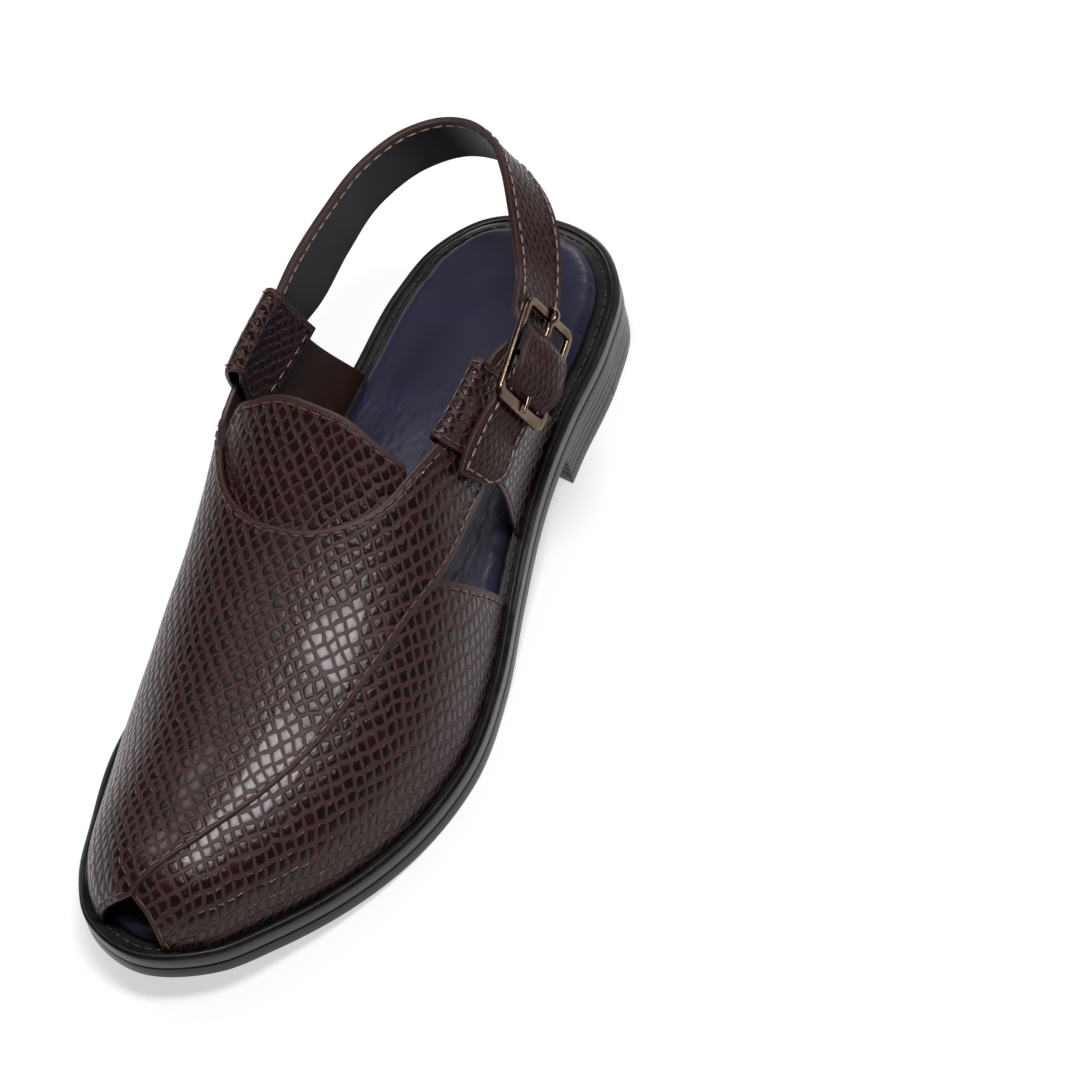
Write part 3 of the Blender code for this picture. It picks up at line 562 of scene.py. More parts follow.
def finishPiece(ob, slotName, *nodes, smooth=35):
    # applies what is left on the piece and hands it to the frame
    applyAll(ob)
    bpy.ops.object.shade_smooth_by_angle(angle=math.radians(smooth))
    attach(ob, "root")
    if nodes:
        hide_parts(*nodes)
    print(ob.name, len(ob.data.polygons), "faces")


def leatherWall(ob, thickness, edgeRound):
    addModifier(ob, "SOLIDIFY", thickness=thickness, offset=0, use_even_offset=True,
                material_offset=1, material_offset_rim=2)
    addBevel(ob, edgeRound, 3)


def hideUv(along, across):
    # centimetres on the hide
    return np.stack([along, across], axis=-1).reshape(-1, 2) * 100


def distanceToLine(points, line, closed=False):
    a = line if closed else line[:-1]
    b = np.roll(line, -1, 0) if closed else line[1:]
    best = np.full(len(points), 1e9)
    for p, q in zip(a, b):
        d = q - p
        t = np.clip((points - p) @ d / max(d @ d, 1e-18), 0, 1)
        best = np.minimum(best, np.linalg.norm(points - p - t[:, None] * d, axis=1))
    return best


def fillRing(ring, spacing):
    low = ring.min(0)
    high = ring.max(0)
    count = np.maximum(np.round((high - low) / spacing).astype(int), 1)
    grid = np.stack(np.meshgrid(*[np.linspace(low[c], high[c], count[c] + 1) for c in (0, 1)],
                                indexing="ij"), axis=-1).reshape(-1, 2)
    grid = grid[distanceToLine(grid, ring, closed=True) > 0.5 * spacing]
    coords = [tuple(p) for p in ring] + [tuple(p) for p in grid]
    out = delaunay_2d_cdt(coords, [], [list(range(len(ring)))], 1, 1e-9)
    flat = np.array([tuple(v) for v in out[0]])
    used = sorted({k for f in out[2] for k in f})
    index = {k: n for n, k in enumerate(used)}
    return flat[used], [tuple(index[k] for k in f) for f in out[2]]


def orient(verts, faces, outward):
    # turns the faces over if most of them look away from outward
    verts = np.asarray(verts)
    f = np.array([face[:3] for face in faces])
    normal = np.cross(verts[f[:, 1]] - verts[f[:, 0]], verts[f[:, 2]] - verts[f[:, 0]])
    if (normal * outward[f[:, 0]]).sum() < 0:
        return [tuple(reversed(face)) for face in faces]
    return faces


stitch = {"length": 3.2 * mm, "pitch": 4.2 * mm, "radius": 0.30 * mm, "sink": 0.22}


def makeStitch():
    bpy.ops.object.select_all(action="DESELECT")
    bpy.ops.mesh.primitive_uv_sphere_add(segments=6, ring_count=6, radius=1)
    ob = bpy.context.active_object
    editAll(ob)
    bpy.ops.transform.rotate(value=math.pi / 2, orient_axis="Y", center_override=(0, 0, 0))
    bpy.ops.object.mode_set(mode="OBJECT")
    verts = np.array([v.co[:] for v in ob.data.vertices])
    # squarer ends than a ball's
    verts[:, 0] = np.sign(verts[:, 0]) * np.abs(verts[:, 0]) ** 0.6
    faces = [tuple(p.vertices) for p in ob.data.polygons]
    bpy.data.objects.remove(ob)
    return verts, faces


stitchShape = makeStitch()


def sewLine(name, lines, finish="thread", length=stitch["length"], pitch=stitch["pitch"],
            radius=stitch["radius"], slotName="embossed_leather"):
    # lines are (points, normals) along the seams
    verts = []
    faces = []
    shape, shapeFaces = stitchShape
    for points, normals in lines:
        run = lengths(points)
        count = max(int(run[-1] / pitch), 1)
        for middle in (np.arange(count) + 0.5) * run[-1] / count:
            ends = (middle - length / 2, middle, middle + length / 2)
            back, place, ahead = pointAt(run, points, ends)
            along = unit(ahead - back)
            up = pointAt(run, normals, middle)
            up = unit(up - along * (up @ along))
            axes = np.stack([along * length / 2, np.cross(up, along) * radius, up * radius])
            start = sum(len(v) for v in verts)
            verts.append(place + up * radius * (1 - 2 * stitch["sink"]) + shape @ axes)
            faces += [tuple(i + start for i in f) for f in shapeFaces]
    finishPiece(makeMesh(name, np.vstack(verts), faces, finish), slotName)


# The upper's panels, drawn on the last as (along, degrees from the ridge)
feather = 89.9
farOff = 9.0  # mm, a seam distance that shows no turned edge
mainFeather = (0.473, 0.560, 0.660, 0.760, 0.860, 0.930, 0.965)
underFeather = (0.978, 0.930, 0.860, 0.760, 0.660, 0.560, 0.473)
vamp = {
    "wall": 1.7 * mm,
    "step": 1.2 * mm,
    "earLift": 1.9 * mm,
    "spacing": 1.6 * mm,
    "span": 50 * mm,
    "edgeRound": 0.55 * mm,
    "tongueWall": 1.5 * mm,
    "tongueDepth": 1.1 * mm,
    "stitchIn": 1.7 * mm,
    "main": [
        [(0.965, -feather), (0.965, -54), (0.963, -27), (0.960, -14), (0.957, -7)],
        [(0.957, -7), (0.902, 15), (0.839, 27), (0.759, 35), (0.686, 39), (0.614, 44),
         (0.557, 51), (0.508, 58), (0.452, 65), (0.437, 67)],
        [(0.437, 67), (0.400, 70), (0.350, 72), (0.300, 73)],
        [(0.300, 73), (0.300, 64)],
        [(0.300, 64), (0.350, 59.5), (0.400, 54), (0.445, 44.5), (0.480, 37)],
        [(0.480, 37), (0.523, 28), (0.552, 18), (0.568, 8), (0.571, -1), (0.561, -14),
         (0.532, -27), (0.496, -36), (0.470, -44), (0.420, -51), (0.3592, -56)],
        [(0.3592, -56), (0.3592, -68)],
        [(0.3592, -68), (0.410, -66), (0.450, -64)],
        [(0.450, -64), (0.505, -68), (0.510, -76), (0.473, -feather)],
        [(share, -feather) for share in mainFeather],
    ],
    "under": [
        [(0.957, -9), (0.964, 1), (0.972, 20), (0.977, 50), (0.978, feather)],
        [(share, feather) for share in underFeather],
        [(0.473, feather), (0.517, 69), (0.545, 53)],
        [(0.545, 53), (0.565, 40)],
        [(0.565, 40), (0.614, 31), (0.686, 26), (0.759, 21), (0.839, 11), (0.902, -3),
         (0.940, -16)],
        [(0.940, -16), (0.957, -9)],
    ],
    "tongue": [
        [(0.496, -38), (0.470, -33), (0.467, -20), (0.464, -7), (0.467, 4), (0.469, 14),
         (0.475, 25), (0.477, 36)],
        [(0.477, 36), (0.525, 40), (0.575, 34), (0.612, 14), (0.615, -4), (0.603, -22),
         (0.560, -38), (0.496, -38)],
    ],
}


def flatEdge(edge, spacing):
    flat = [(float(runOf(a)) * sole["length"], math.radians(d) * vamp["span"]) for a, d in edge]
    return smoothLine(flat, spacing)


def vampOffset(run, angle):
    share = shareOf(xOf(run))
    turned = np.degrees(angle)
    climb = ease(turned, -12, 16) * ease(share, 0.46, 0.56)
    toe = ease(share, 0.88, 0.93) * ease(turned, -45, -12)
    lift = vamp["earLift"] * (1 - ease(share, 0.300, 0.322)) * ease(turned, 0, 30)
    return vamp["wall"] / 2 + vamp["step"] * np.maximum(climb, toe) + lift


def underOffset(run, angle):
    return np.full(np.shape(run), vamp["wall"] / 2)


def tongueOffset(run, angle):
    return np.full(np.shape(run), -vamp["tongueDepth"])


def hideMap(run, angle, squeeze):
    # lays the hide by the girth from the ridge; the cells get smaller to the inner side
    girth = np.zeros(len(run))
    before = bareLast(run, np.zeros(len(run)))
    steps = 10
    for k in range(1, steps + 1):
        point = bareLast(run, angle * k / steps)
        girth += np.linalg.norm(point - before, axis=1)
        before = point
    girth = np.where(angle < 0, -girth, girth)
    girth = girth * (1 + squeeze * ease(-girth, 0, 60 * mm))
    return hideUv(run * sole["length"], girth)


def makePanel(name, edges, sewn, offset, nodes, hideName="hide", squeeze=0.0,
              thickness=vamp["wall"]):
    spacing = vamp["spacing"]
    ring = np.vstack([flatEdge(edge, spacing)[:-1] for edge in edges])
    flat, faces = fillRing(ring, spacing)
    run = flat[:, 0] / sole["length"]
    angle = flat[:, 1] / vamp["span"]
    verts = lastPoint(run, angle, offset(run, angle))
    faces = orient(verts, faces, lastNormal(run, angle))
    far = np.full(len(flat), farOff)
    for k in sewn:
        far = np.minimum(far, distanceToLine(flat, flatEdge(edges[k], spacing)) / mm)
    ob = makeMesh(name, verts, faces, [hideName, "lining", "cutEdge"],
                  {"hide": hideMap(run, angle, squeeze)}, {"seamDistance": far})
    leatherWall(ob, thickness, vamp["edgeRound"])
    finishPiece(ob, "embossed_leather", *nodes)


def panelSeam(edge, offset, inset, trim, thickness=vamp["wall"]):
    flat = flatEdge(edge, 1.0 * mm)
    flat = flat + leftOf(np.gradient(flat, axis=0)) * inset
    run = lengths(flat)
    flat = flat[(run >= trim[0] * mm) & (run <= run[-1] - trim[1] * mm)]
    run = np.clip(flat[:, 0] / sole["length"], 0, 1)
    angle = np.clip(flat[:, 1] / vamp["span"], -math.pi / 2, math.pi / 2)
    return lastPoint(run, angle, offset(run, angle) + thickness / 2), lastNormal(run, angle)


main = vamp["main"]
under = vamp["under"]
makePanel("vampPanel", main, (1, 2, 4, 5, 7, 8), vampOffset, ["upper"], squeeze=0.35)
makePanel("underPanel", under, (0, 2, 3), underOffset, [])
makePanel("tongueTab", vamp["tongue"], (0,), tongueOffset, ["tongue_tab"], "tongueHide",
          thickness=vamp["tongueWall"])
sewLine("vampStitches", [
    panelSeam(edge, offset, vamp["stitchIn"], trim) for edge, offset, trim in (
        (main[1], vampOffset, (6, 0)), (main[2], vampOffset, (0, 3)),
        (main[4] + main[5][1:], vampOffset, (3, 3)), (main[7] + main[8][1:], vampOffset, (3, 3)),
        (main[0], vampOffset, (4, 3)), (under[2], underOffset, (4, 4)),
        (under[0], underOffset, (6, 4)))
])
sewLine("tongueStitches", [panelSeam(vamp["tongue"][0], tongueOffset, -vamp["stitchIn"], (2, 2),
                                     vamp["tongueWall"])])
print("vamp and tongue made")


# Quarters with their loops
quarter = {
    "foot": (0.400, 0.255),
    "innerPlace": (0.430, 0.324),
    "outerPlace": (0.440, 0.342),
    "waist": 0.006,
    "innerTop": (80.5 * mm, 82.5 * mm),
    "outerTop": (75.8 * mm, 79.3 * mm),
    "flap": 25 * mm,
    "wall": 1.4 * mm,
    "edgeRound": 0.45 * mm,
    "stepOut": (22 * mm, 50 * mm),  # heights where it leaves the last to clear the ear
    "bareFoot": 8 * mm,             # runs without and with a turned edge
    "hemRun": 60 * mm,
    "loopRadius": 2.3 * mm,
    "earMiddle": 0.9 * mm,
    "columns": 34,
}


def quarterColumn(side, place, tops, s):
    foot = quarter["foot"][0] + (quarter["foot"][1] - quarter["foot"][0]) * s
    top = place[0] + (place[1] - place[0]) * s
    high = tops[0] + (tops[1] - tops[0]) * s
    low = float(soleLevel(placeOf(foot))) + sole["weltTop"]
    radius = quarter["loopRadius"]
    ear = quarter["earMiddle"]
    half = quarter["wall"] / 2
    k = np.linspace(0, 1, 40)
    share = foot + (top - foot) * k - quarter["waist"] * np.sin(math.pi * k) * (1 - 2 * s)
    z = low + (high - low) * k
    out = half + (ear + radius - half) * ease(z, *quarter["stepOut"])
    column = list(sidePoint(side, share, z, out))
    base = sidePoint(side, top, high, 0.0)
    outward = unit(sidePoint(side, top, high, mm) - base)
    up = sidePoint(side, top, high + mm, 0.0) - base
    up = unit(up - outward * (up @ outward))
    for turn in np.radians(np.arange(20, 181, 20)):
        column.append(base + outward * (ear + radius * math.cos(turn))
                      + up * radius * math.sin(turn))
    depth = np.linspace(0, quarter["flap"], 17)[1:]
    share = top + (foot - top) * depth / (high - low)
    column += list(sidePoint(side, share, high - depth, np.full(len(depth), ear - radius)))
    return np.array(column)


def gridFaces(rows, columns):
    return [(r * columns + c, r * columns + c + 1, (r + 1) * columns + c + 1,
             (r + 1) * columns + c) for r in range(rows - 1) for c in range(columns - 1)]


def gridNormals(grid):
    return unit(np.cross(np.gradient(grid, axis=0), np.gradient(grid, axis=1)))


def makeQuarter(name, side, place, tops, node):
    grid = np.array([quarterColumn(side, place, tops, s)
                     for s in np.linspace(0, 1, quarter["columns"])])
    rows, columns, _ = grid.shape
    normals = gridNormals(grid)
    outward = np.zeros((rows, columns, 3))
    outward[:, :20, 1] = side
    faces = orient(grid.reshape(-1, 3), gridFaces(rows, columns), outward.reshape(-1, 3))
    if (normals[:, :20, 1] * side).sum() < 0:
        normals = -normals
    u, v = np.meshgrid(lengths(grid[:, columns // 3]), lengths(grid[rows // 2]), indexing="ij")
    hem = np.where(v > quarter["hemRun"], v.max() - v, farOff * mm)
    far = np.minimum(np.minimum(u, u.max() - u), hem) / mm
    far = np.where(v < quarter["bareFoot"], farOff, far)
    ob = makeMesh(name, grid.reshape(-1, 3), faces, ["loopHide", "lining", "cutEdge"],
                  {"hide": hideUv(u, v)}, {"seamDistance": far.ravel()})
    leatherWall(ob, quarter["wall"], quarter["edgeRound"])
    finishPiece(ob, "embossed_leather", node)
    face = grid + normals * quarter["wall"] / 2
    lines = [(face[k, 6:], normals[k, 6:]) for k in (2, rows - 3)]
    sewLine(name + "Stitches", lines + [(face[3:-3, -3], normals[3:-3, -3])])


makeQuarter("innerQuarter", -1, quarter["innerPlace"], quarter["innerTop"], "quarter_inner")
makeQuarter("outerQuarter", 1, quarter["outerPlace"], quarter["outerTop"], "quarter_outer")
print("quarters made")


# Heel strap, buckle and prong
buckle = {
    "centre": np.array((-56.8, 42.7, 70.1)) * mm,
    "along": np.array((0.970, 0.068, -0.231)),
    "out": np.array((-0.009, 0.969, 0.247)),
    "length": 34 * mm,
    "width": 26.4 * mm,
    "corner": 3.4 * mm,
    "edgeRound": 0.75 * mm,
    "barRound": 0.2 * mm,
    "gap": 0.3 * mm,
    "sideBar": 2.3 * mm,
    "heelBar": 2.6 * mm,
    "toeBar": 4.0 * mm,
    "thickness": 2.2 * mm,
    "prong": 1.8 * mm,
    "prongPath": [(0.139, 1.1), (0.529, 1.5), (0.939, 2.1)],
    "hiddenBar": 1.8 * mm,
    "hiddenDrop": 1.2 * mm,
}
strap = {
    "width": 19.4,
    "wall": 2.0 * mm,
    "edgeRound": 0.5 * mm,
    "bareRun": (2 * mm, 33 * mm),   # no stitches where it passes through the buckle
    "startOffset": 0.9 * mm,
    "tailOffset": 5.4 * mm,
    "turnedEdge": 0.17,
    "start": [(0.3585, 79.8, 61.6), (0.325, 80.8, 62.0)],
    "rails": [
        ((-66, -41.5, 81), (-67, -37.6, 61)), ((-86, -40.2, 82), (-87, -37.2, 62.6)),
        ((-106, -36.7, 83), (-106.5, -34.8, 64.2)), ((-120.6, -27.4, 85), (-122, -25.4, 66.5)),
        ((-126.3, -17.0, 86.5), (-129, -14.4, 68)), ((-126.0, -7.0, 88), (-129.5, -4.0, 69.3)),
        ((-121.0, 2.6, 88.5), (-126.4, 6.3, 70)), ((-113.0, 9.5, 88), (-120.0, 15.5, 71)),
        ((-99.5, 18.0, 85.5), (-108.0, 26.5, 70.5)), ((-84.0, 27.0, 82.5), (-91.5, 34.5, 66.5)),
    ],
    "thread": [  # along the opening, out (mm), top and low half of the width
        (-0.107, -4.9, 0.66, 0.50), (0.080, -4.5, 0.60, 0.50), (0.205, 0.0, 0.545, 0.52),
        (0.340, 3.8, 0.575, 0.54), (0.570, 4.4, 0.64, 0.57), (0.775, 4.2, 0.62, 0.55),
        (0.895, 2.4, 0.545, 0.53), (0.955, -0.4, 0.51, 0.51), (1.029, -3.0, 0.50, 0.50),
        (1.143, -3.1, 0.50, 0.50),
    ],
    "tail": [(0.384, 0.374, 72.5, 51.5), (0.411, 0.396, 71.5, 50.0),
             (0.434, 0.419, 69.5, 52.0), (0.453, 0.441, 66.8, 58.5)],
    "columns": 15,
    "spacing": 1.3 * mm,
}
buckle["down"] = np.cross(buckle["out"], buckle["along"])


def bucklePoint(along, down, out):
    return (buckle["centre"] + buckle["along"] * along + buckle["down"] * down
            + buckle["out"] * out)


def inOpening(share):
    start = buckle["heelBar"] - buckle["length"] / 2
    end = buckle["length"] / 2 - buckle["toeBar"]
    return start + (end - start) * share


def strapGrid():
    across = np.linspace(0, 1, strap["columns"])
    rows = []
    for share, top, low in strap["start"]:
        heights = (top + (low - top) * across) * mm
        rows.append(sidePoint(-1, np.full(len(across), share), heights, strap["startOffset"]))
    for top, low in strap["rails"]:
        rows.append((np.array(top) + (np.array(low) - np.array(top)) * across[:, None]) * mm)
    for along, out, top, low in strap["thread"]:
        place = inOpening(along)
        downs = strap["width"] * mm * ((top + low) * across - top)
        rows.append([bucklePoint(place, down, out * mm) for down in downs])
    for topShare, lowShare, top, low in strap["tail"]:
        share = topShare + (lowShare - topShare) * across
        heights = (top + (low - top) * across) * mm
        rows.append(sidePoint(1, share, heights, strap["tailOffset"]))
    rows = np.array(rows)
    knots = lengths(rows[:, len(across) // 2])
    at = np.linspace(0, knots[-1], int(knots[-1] / strap["spacing"]))
    grid = np.stack([hermite(knots, rows[:, c], at) for c in range(len(across))], axis=1)
    threadStart = knots[2 + len(strap["rails"])]
    return grid, at, threadStart


def makeStrap():
    grid, at, threadStart = strapGrid()
    rows, columns, _ = grid.shape
    normals = gridNormals(grid)
    outward = (grid - np.array((-50, 0, 70)) * mm) * (1, 1, 0)
    if (normals * outward).sum() < 0:
        normals = -normals
    # the leather crumples where it bulges through the frame, by waves of these heights in mm
    u = at[:, None] - threadStart
    v = np.linspace(-1, 1, columns)[None] * strap["width"] / 2 * mm
    inside = ease(u, 5 * mm, 9 * mm) * (1 - ease(u, 22 * mm, 27 * mm))
    fold = (np.sin(u / (1.7 * mm) + np.sin(v / (3.1 * mm)) * 1.3) * 0.16
            + np.sin(u / (0.9 * mm) + v / (2.2 * mm)) * 0.07
            + np.sin(v / (2.4 * mm) + 0.6) * 0.28 - 0.5 * (v / (9.7 * mm)) ** 2)
    grid = grid + normals * (inside * fold * mm)[..., None]
    faces = orient(grid.reshape(-1, 3), gridFaces(rows, columns), outward.reshape(-1, 3))
    w = strap["width"] * mm
    across = np.linspace(0, w, columns)
    far = np.minimum(np.minimum(across, w - across)[None], (at[-1] - at)[:, None]) / mm
    ob = makeMesh("heelStrap", grid.reshape(-1, 3), faces,
                  ["strapHide", "strapLining", "cutEdge", "turnedEdge"],
                  {"hide": hideUv(*np.meshgrid(at, across, indexing="ij"))},
                  {"seamDistance": far.ravel(), "fromTop": np.tile(across / w, rows)})
    leatherWall(ob, strap["wall"], strap["edgeRound"])
    applyAll(ob)
    # the leather is turned over the lining along the strap's top edge
    fromTop = np.empty(len(ob.data.vertices))
    ob.data.attributes["fromTop"].data.foreach_get("value", fromTop)
    for face in ob.data.polygons:
        if face.material_index == 1 and fromTop[list(face.vertices)].mean() < strap["turnedEdge"]:
            face.material_index = 3
    finishPiece(ob, "embossed_leather", "heel_strap")
    seams = []
    for column, side in ((1, 1), (columns - 2, 1), (1, -1)):
        face = grid[:, column] * 0.55 + grid[:, column + (1 if column < 3 else -1)] * 0.45
        n = normals[:, column] * side
        line = face + n * strap["wall"] / 2
        first = at < threadStart + 1 * mm
        seams.append((line[first], n[first]))
        if side == 1:
            start, end = threadStart + np.array(strap["bareRun"])
            rest = ~first & ((at < start) | (at > end))
            seams.append((line[rest][:-1], n[rest][:-1]))
    tail = grid[-3] + normals[-3] * strap["wall"] / 2
    seams.append((tail[1:-1], normals[-3][1:-1]))
    # the strap's stitches take the lightened thread, a painted sheen
    sewLine("strapStitches", seams, "strapThread")


makeStrap()


def finishOnBuckle(ob, *nodes, smooth=35):
    # moves a piece drawn round the origin to the buckle's own axes
    turn = Matrix([[buckle["along"][k], buckle["down"][k], buckle["out"][k]] for k in range(3)])
    ob.data.transform(Matrix.Translation(Vector(buckle["centre"] + (0, centreLine, 0)))
                      @ turn.to_4x4())
    ob.data.materials.append(finishes["brass"])
    finishPiece(ob, "antique_brass", *nodes, smooth=smooth)


def makeBuckle():
    bpy.ops.object.select_all(action="DESELECT")
    bpy.ops.mesh.primitive_plane_add(size=1)
    ob = bpy.context.active_object
    ob.name = "buckleFrame"
    length = buckle["length"]
    width = buckle["width"]
    side = buckle["sideBar"]
    editAll(ob)
    bpy.ops.transform.resize(value=(length, width, 1))
    bpy.ops.mesh.bevel(offset=buckle["corner"], segments=6, affect="VERTICES")
    bpy.ops.mesh.inset(thickness=side, depth=0)
    bpy.ops.mesh.delete(type="FACE")
    bpy.ops.object.mode_set(mode="OBJECT")
    # the toe-side bar is wider and flat, the heel-side bar a little wider than the sides
    innerLong = length / 2 - side + 0.05 * mm
    innerWide = width / 2 - side + 0.05 * mm
    for v in ob.data.vertices:
        if innerLong * 0.6 < abs(v.co.x) < innerLong and abs(v.co.y) < innerWide:
            grow = buckle["toeBar"] if v.co.x > 0 else buckle["heelBar"]
            v.co.x -= math.copysign(grow - side, v.co.x)
    extrudeUp(ob, buckle["thickness"])
    faceOutwards(ob)
    ob.data.transform(Matrix.Translation((0, 0, -buckle["thickness"] / 2)))
    addBevel(ob, buckle["edgeRound"], 4)
    applyAll(ob)
    finishOnBuckle(ob, "buckle_frame", smooth=50)
    bpy.ops.object.select_all(action="DESELECT")
    bpy.ops.mesh.primitive_cylinder_add(vertices=20, radius=buckle["hiddenBar"] / 2,
                                        depth=width - side, rotation=(math.pi / 2, 0, 0),
                                        location=(0, 0, -buckle["hiddenDrop"]))
    bar = bpy.context.active_object
    bar.name = "hiddenBar"
    bpy.ops.object.transform_apply(location=True, rotation=True, scale=True)
    addBevel(bar, buckle["barRound"])
    applyAll(bar)
    finishOnBuckle(bar)


def makeProng():
    bar = -(buckle["length"] - buckle["heelBar"]) / 2
    radius = buckle["prong"] / 2
    turnRadius = buckle["heelBar"] / 2 + 0.35 * mm + radius
    path = [(bar + turnRadius * math.cos(t), turnRadius * math.sin(t))
            for t in np.radians(np.linspace(-62, -325, 15))]
    rest = buckle["thickness"] / 2 + buckle["gap"] + radius
    path += [(inOpening(along), out * mm) for along, out in buckle["prongPath"]]
    path.append((buckle["length"] / 2 - 0.7 * mm, rest))
    curve = bpy.data.curves.new("buckleProng", "CURVE")
    curve.dimensions = "3D"
    curve.bevel_depth = radius
    curve.bevel_resolution = 4
    curve.use_fill_caps = True
    smoothPath = smoothLine([(a, 0, o) for a, o in path], 0.6 * mm)
    spline = curve.splines.new("POLY")
    spline.points.add(len(smoothPath) - 1)
    for k, (point, co) in enumerate(zip(spline.points, smoothPath)):
        point.co = (*co, 1)
        point.radius = 1 - 0.35 * float(ease(k / len(smoothPath), 0.80, 1.0))
    ob = bpy.data.objects.new("buckleProng", curve)
    bpy.context.scene.collection.objects.link(ob)
    only(ob)
    bpy.ops.object.convert(target="MESH")
    ob = bpy.context.active_object
    # the wire is rolled flat and wide where it hooks round the bar
    for v in ob.data.vertices:
        v.co.y *= 1 + 0.5 * (1 - float(ease(v.co.x - bar, turnRadius, turnRadius + 2 * mm)))
    finishOnBuckle(ob, "buckle_prong", smooth=60)


makeBuckle()
makeProng()
print("strap and buckle made")


# The sole
def flatPlate(name, ring, low, high, finish, curved=True):
    # a sheet cut to the ring, extruded to its thickness and bent over the sole's curve
    flat, faces = fillRing(ring, 4 * mm)
    verts = np.column_stack([flat, np.full(len(flat), low)])
    ob = makeMesh(name, verts, orient(verts, faces, np.tile((0, 0, -1.0), (len(flat), 1))), finish)
    extrudeUp(ob, high - low)
    faceOutwards(ob)
    if curved:
        for v in ob.data.vertices:
            v.co.z += float(soleLevel(v.co.x))
    return ob


outsole = {
    "treadCentre": (50 * mm, 1.5 * mm),
    "treadRadii": (39 * mm, 43 * mm),
    "treadDepth": 1.2 * mm,
    "treadGap": 0.3 * mm,
    "edgeRound": 0.6 * mm,
    "topSplit": 0.157,
    "splitGap": 0.0003,
    "breastBow": 4 * mm,
    "heelTaper": 0.6 * mm,
    "blockHeight": 0.5 * mm,
    "blockSize": (5.4 * mm, 2.6 * mm),
    "blockPitch": (6.6 * mm, 3.7 * mm),
    "blockBorder": 2.2 * mm,
    "blockSink": 0.05 * mm,
    "liftJoints": (0.30, 0.62),
    "liftRound": 0.07 * mm,
    "liftGap": 0.1 * mm,
    "liftInset": 0.85,
    "topRound": 0.25 * mm,
}


def treadRing(inset):
    turn = np.linspace(0, 2 * math.pi, 120, endpoint=False)
    along, across = (radius - inset for radius in outsole["treadRadii"])
    return np.stack([outsole["treadCentre"][0] + along * np.cos(turn),
                     outsole["treadCentre"][1] + across * np.sin(turn)], axis=1)


def makeOutsole():
    ob = flatPlate("outsoleBody", edgeLine, 0.0, sole["outsole"], ["soleLeather", "edge"])
    addBevel(ob, outsole["edgeRound"], 3)
    pocket = flatPlate("pocket", treadRing(0), -2 * mm, outsole["treadDepth"], "soleLeather")
    addModifier(ob, "BOOLEAN", operation="DIFFERENCE", solver="EXACT", object=pocket)
    applyAll(ob)
    bpy.data.objects.remove(pocket)
    rim = distanceToLine(np.array([v.co[:2] for v in ob.data.vertices]) - (0, centreLine),
                         edgeLine[::3], closed=True)
    for face in ob.data.polygons:
        down = face.normal.z < -0.75
        face.material_index = 0 if down and rim[list(face.vertices)].min() > 0.1 * mm else 1
    finishPiece(ob, "sole_leather", "outsole")
    gap = outsole["treadGap"]
    tread = flatPlate("forefootTread", treadRing(gap), outsole["blockHeight"],
                      outsole["treadDepth"] - gap, "rubber")
    finishPiece(tread, "rubber", "forefoot_tread")


def makeTreadBlocks():
    # rows of low rubber blocks, each row set half a pitch on from the last
    length, width = outsole["blockSize"]
    stepX, stepY = outsole["blockPitch"]
    radii = [radius - outsole["blockBorder"] for radius in outsole["treadRadii"]]
    corners = [(-length / 2, -width / 2), (length / 2, -width / 2),
               (length / 2, width / 2), (-length / 2, width / 2)]
    verts = []
    faces = []
    for row in range(-14, 15):
        for column in range(-8, 9):
            x = (column + 0.5 * (row % 2)) * stepX
            y = row * stepY
            far = max(math.hypot((x + a) / radii[0], (y + b) / radii[1]) for a, b in corners)
            if far > 1:
                continue
            start = len(verts)
            for height in (0.0, outsole["blockHeight"] + outsole["blockSink"]):
                for a, b in corners:
                    px = outsole["treadCentre"][0] + x + a
                    verts.append((px, outsole["treadCentre"][1] + y + b,
                                  float(soleLevel(px)) + height))
            faces += [(start, start + 3, start + 2, start + 1),
                      (start + 4, start + 5, start + 6, start + 7)]
            faces += [(start + k, start + (k + 1) % 4, start + 4 + (k + 1) % 4, start + 4 + k)
                      for k in range(4)]
    finishPiece(makeMesh("treadBlocks", verts, faces, "rubber"), "rubber")


edgePattern = {
    "pitch": 6.2 * mm,
    "inset": 9.5 * mm,
    "start": 0.298,
    "end": 0.590,
    "radius": 0.30 * mm,
    "stand": 0.14 * mm,
    "shape": [  # one hook, as shares of the pitch along and outwards
        (0.90, 0.26), (0.97, 0.33), (0.92, 0.41), (0.83, 0.38), (0.80, 0.30), (0.55, 0.28),
        (0.25, 0.33), (0.05, 0.20), (0.12, 0.00), (0.34, -0.10), (0.30, -0.28), (0.52, -0.36),
    ],
}


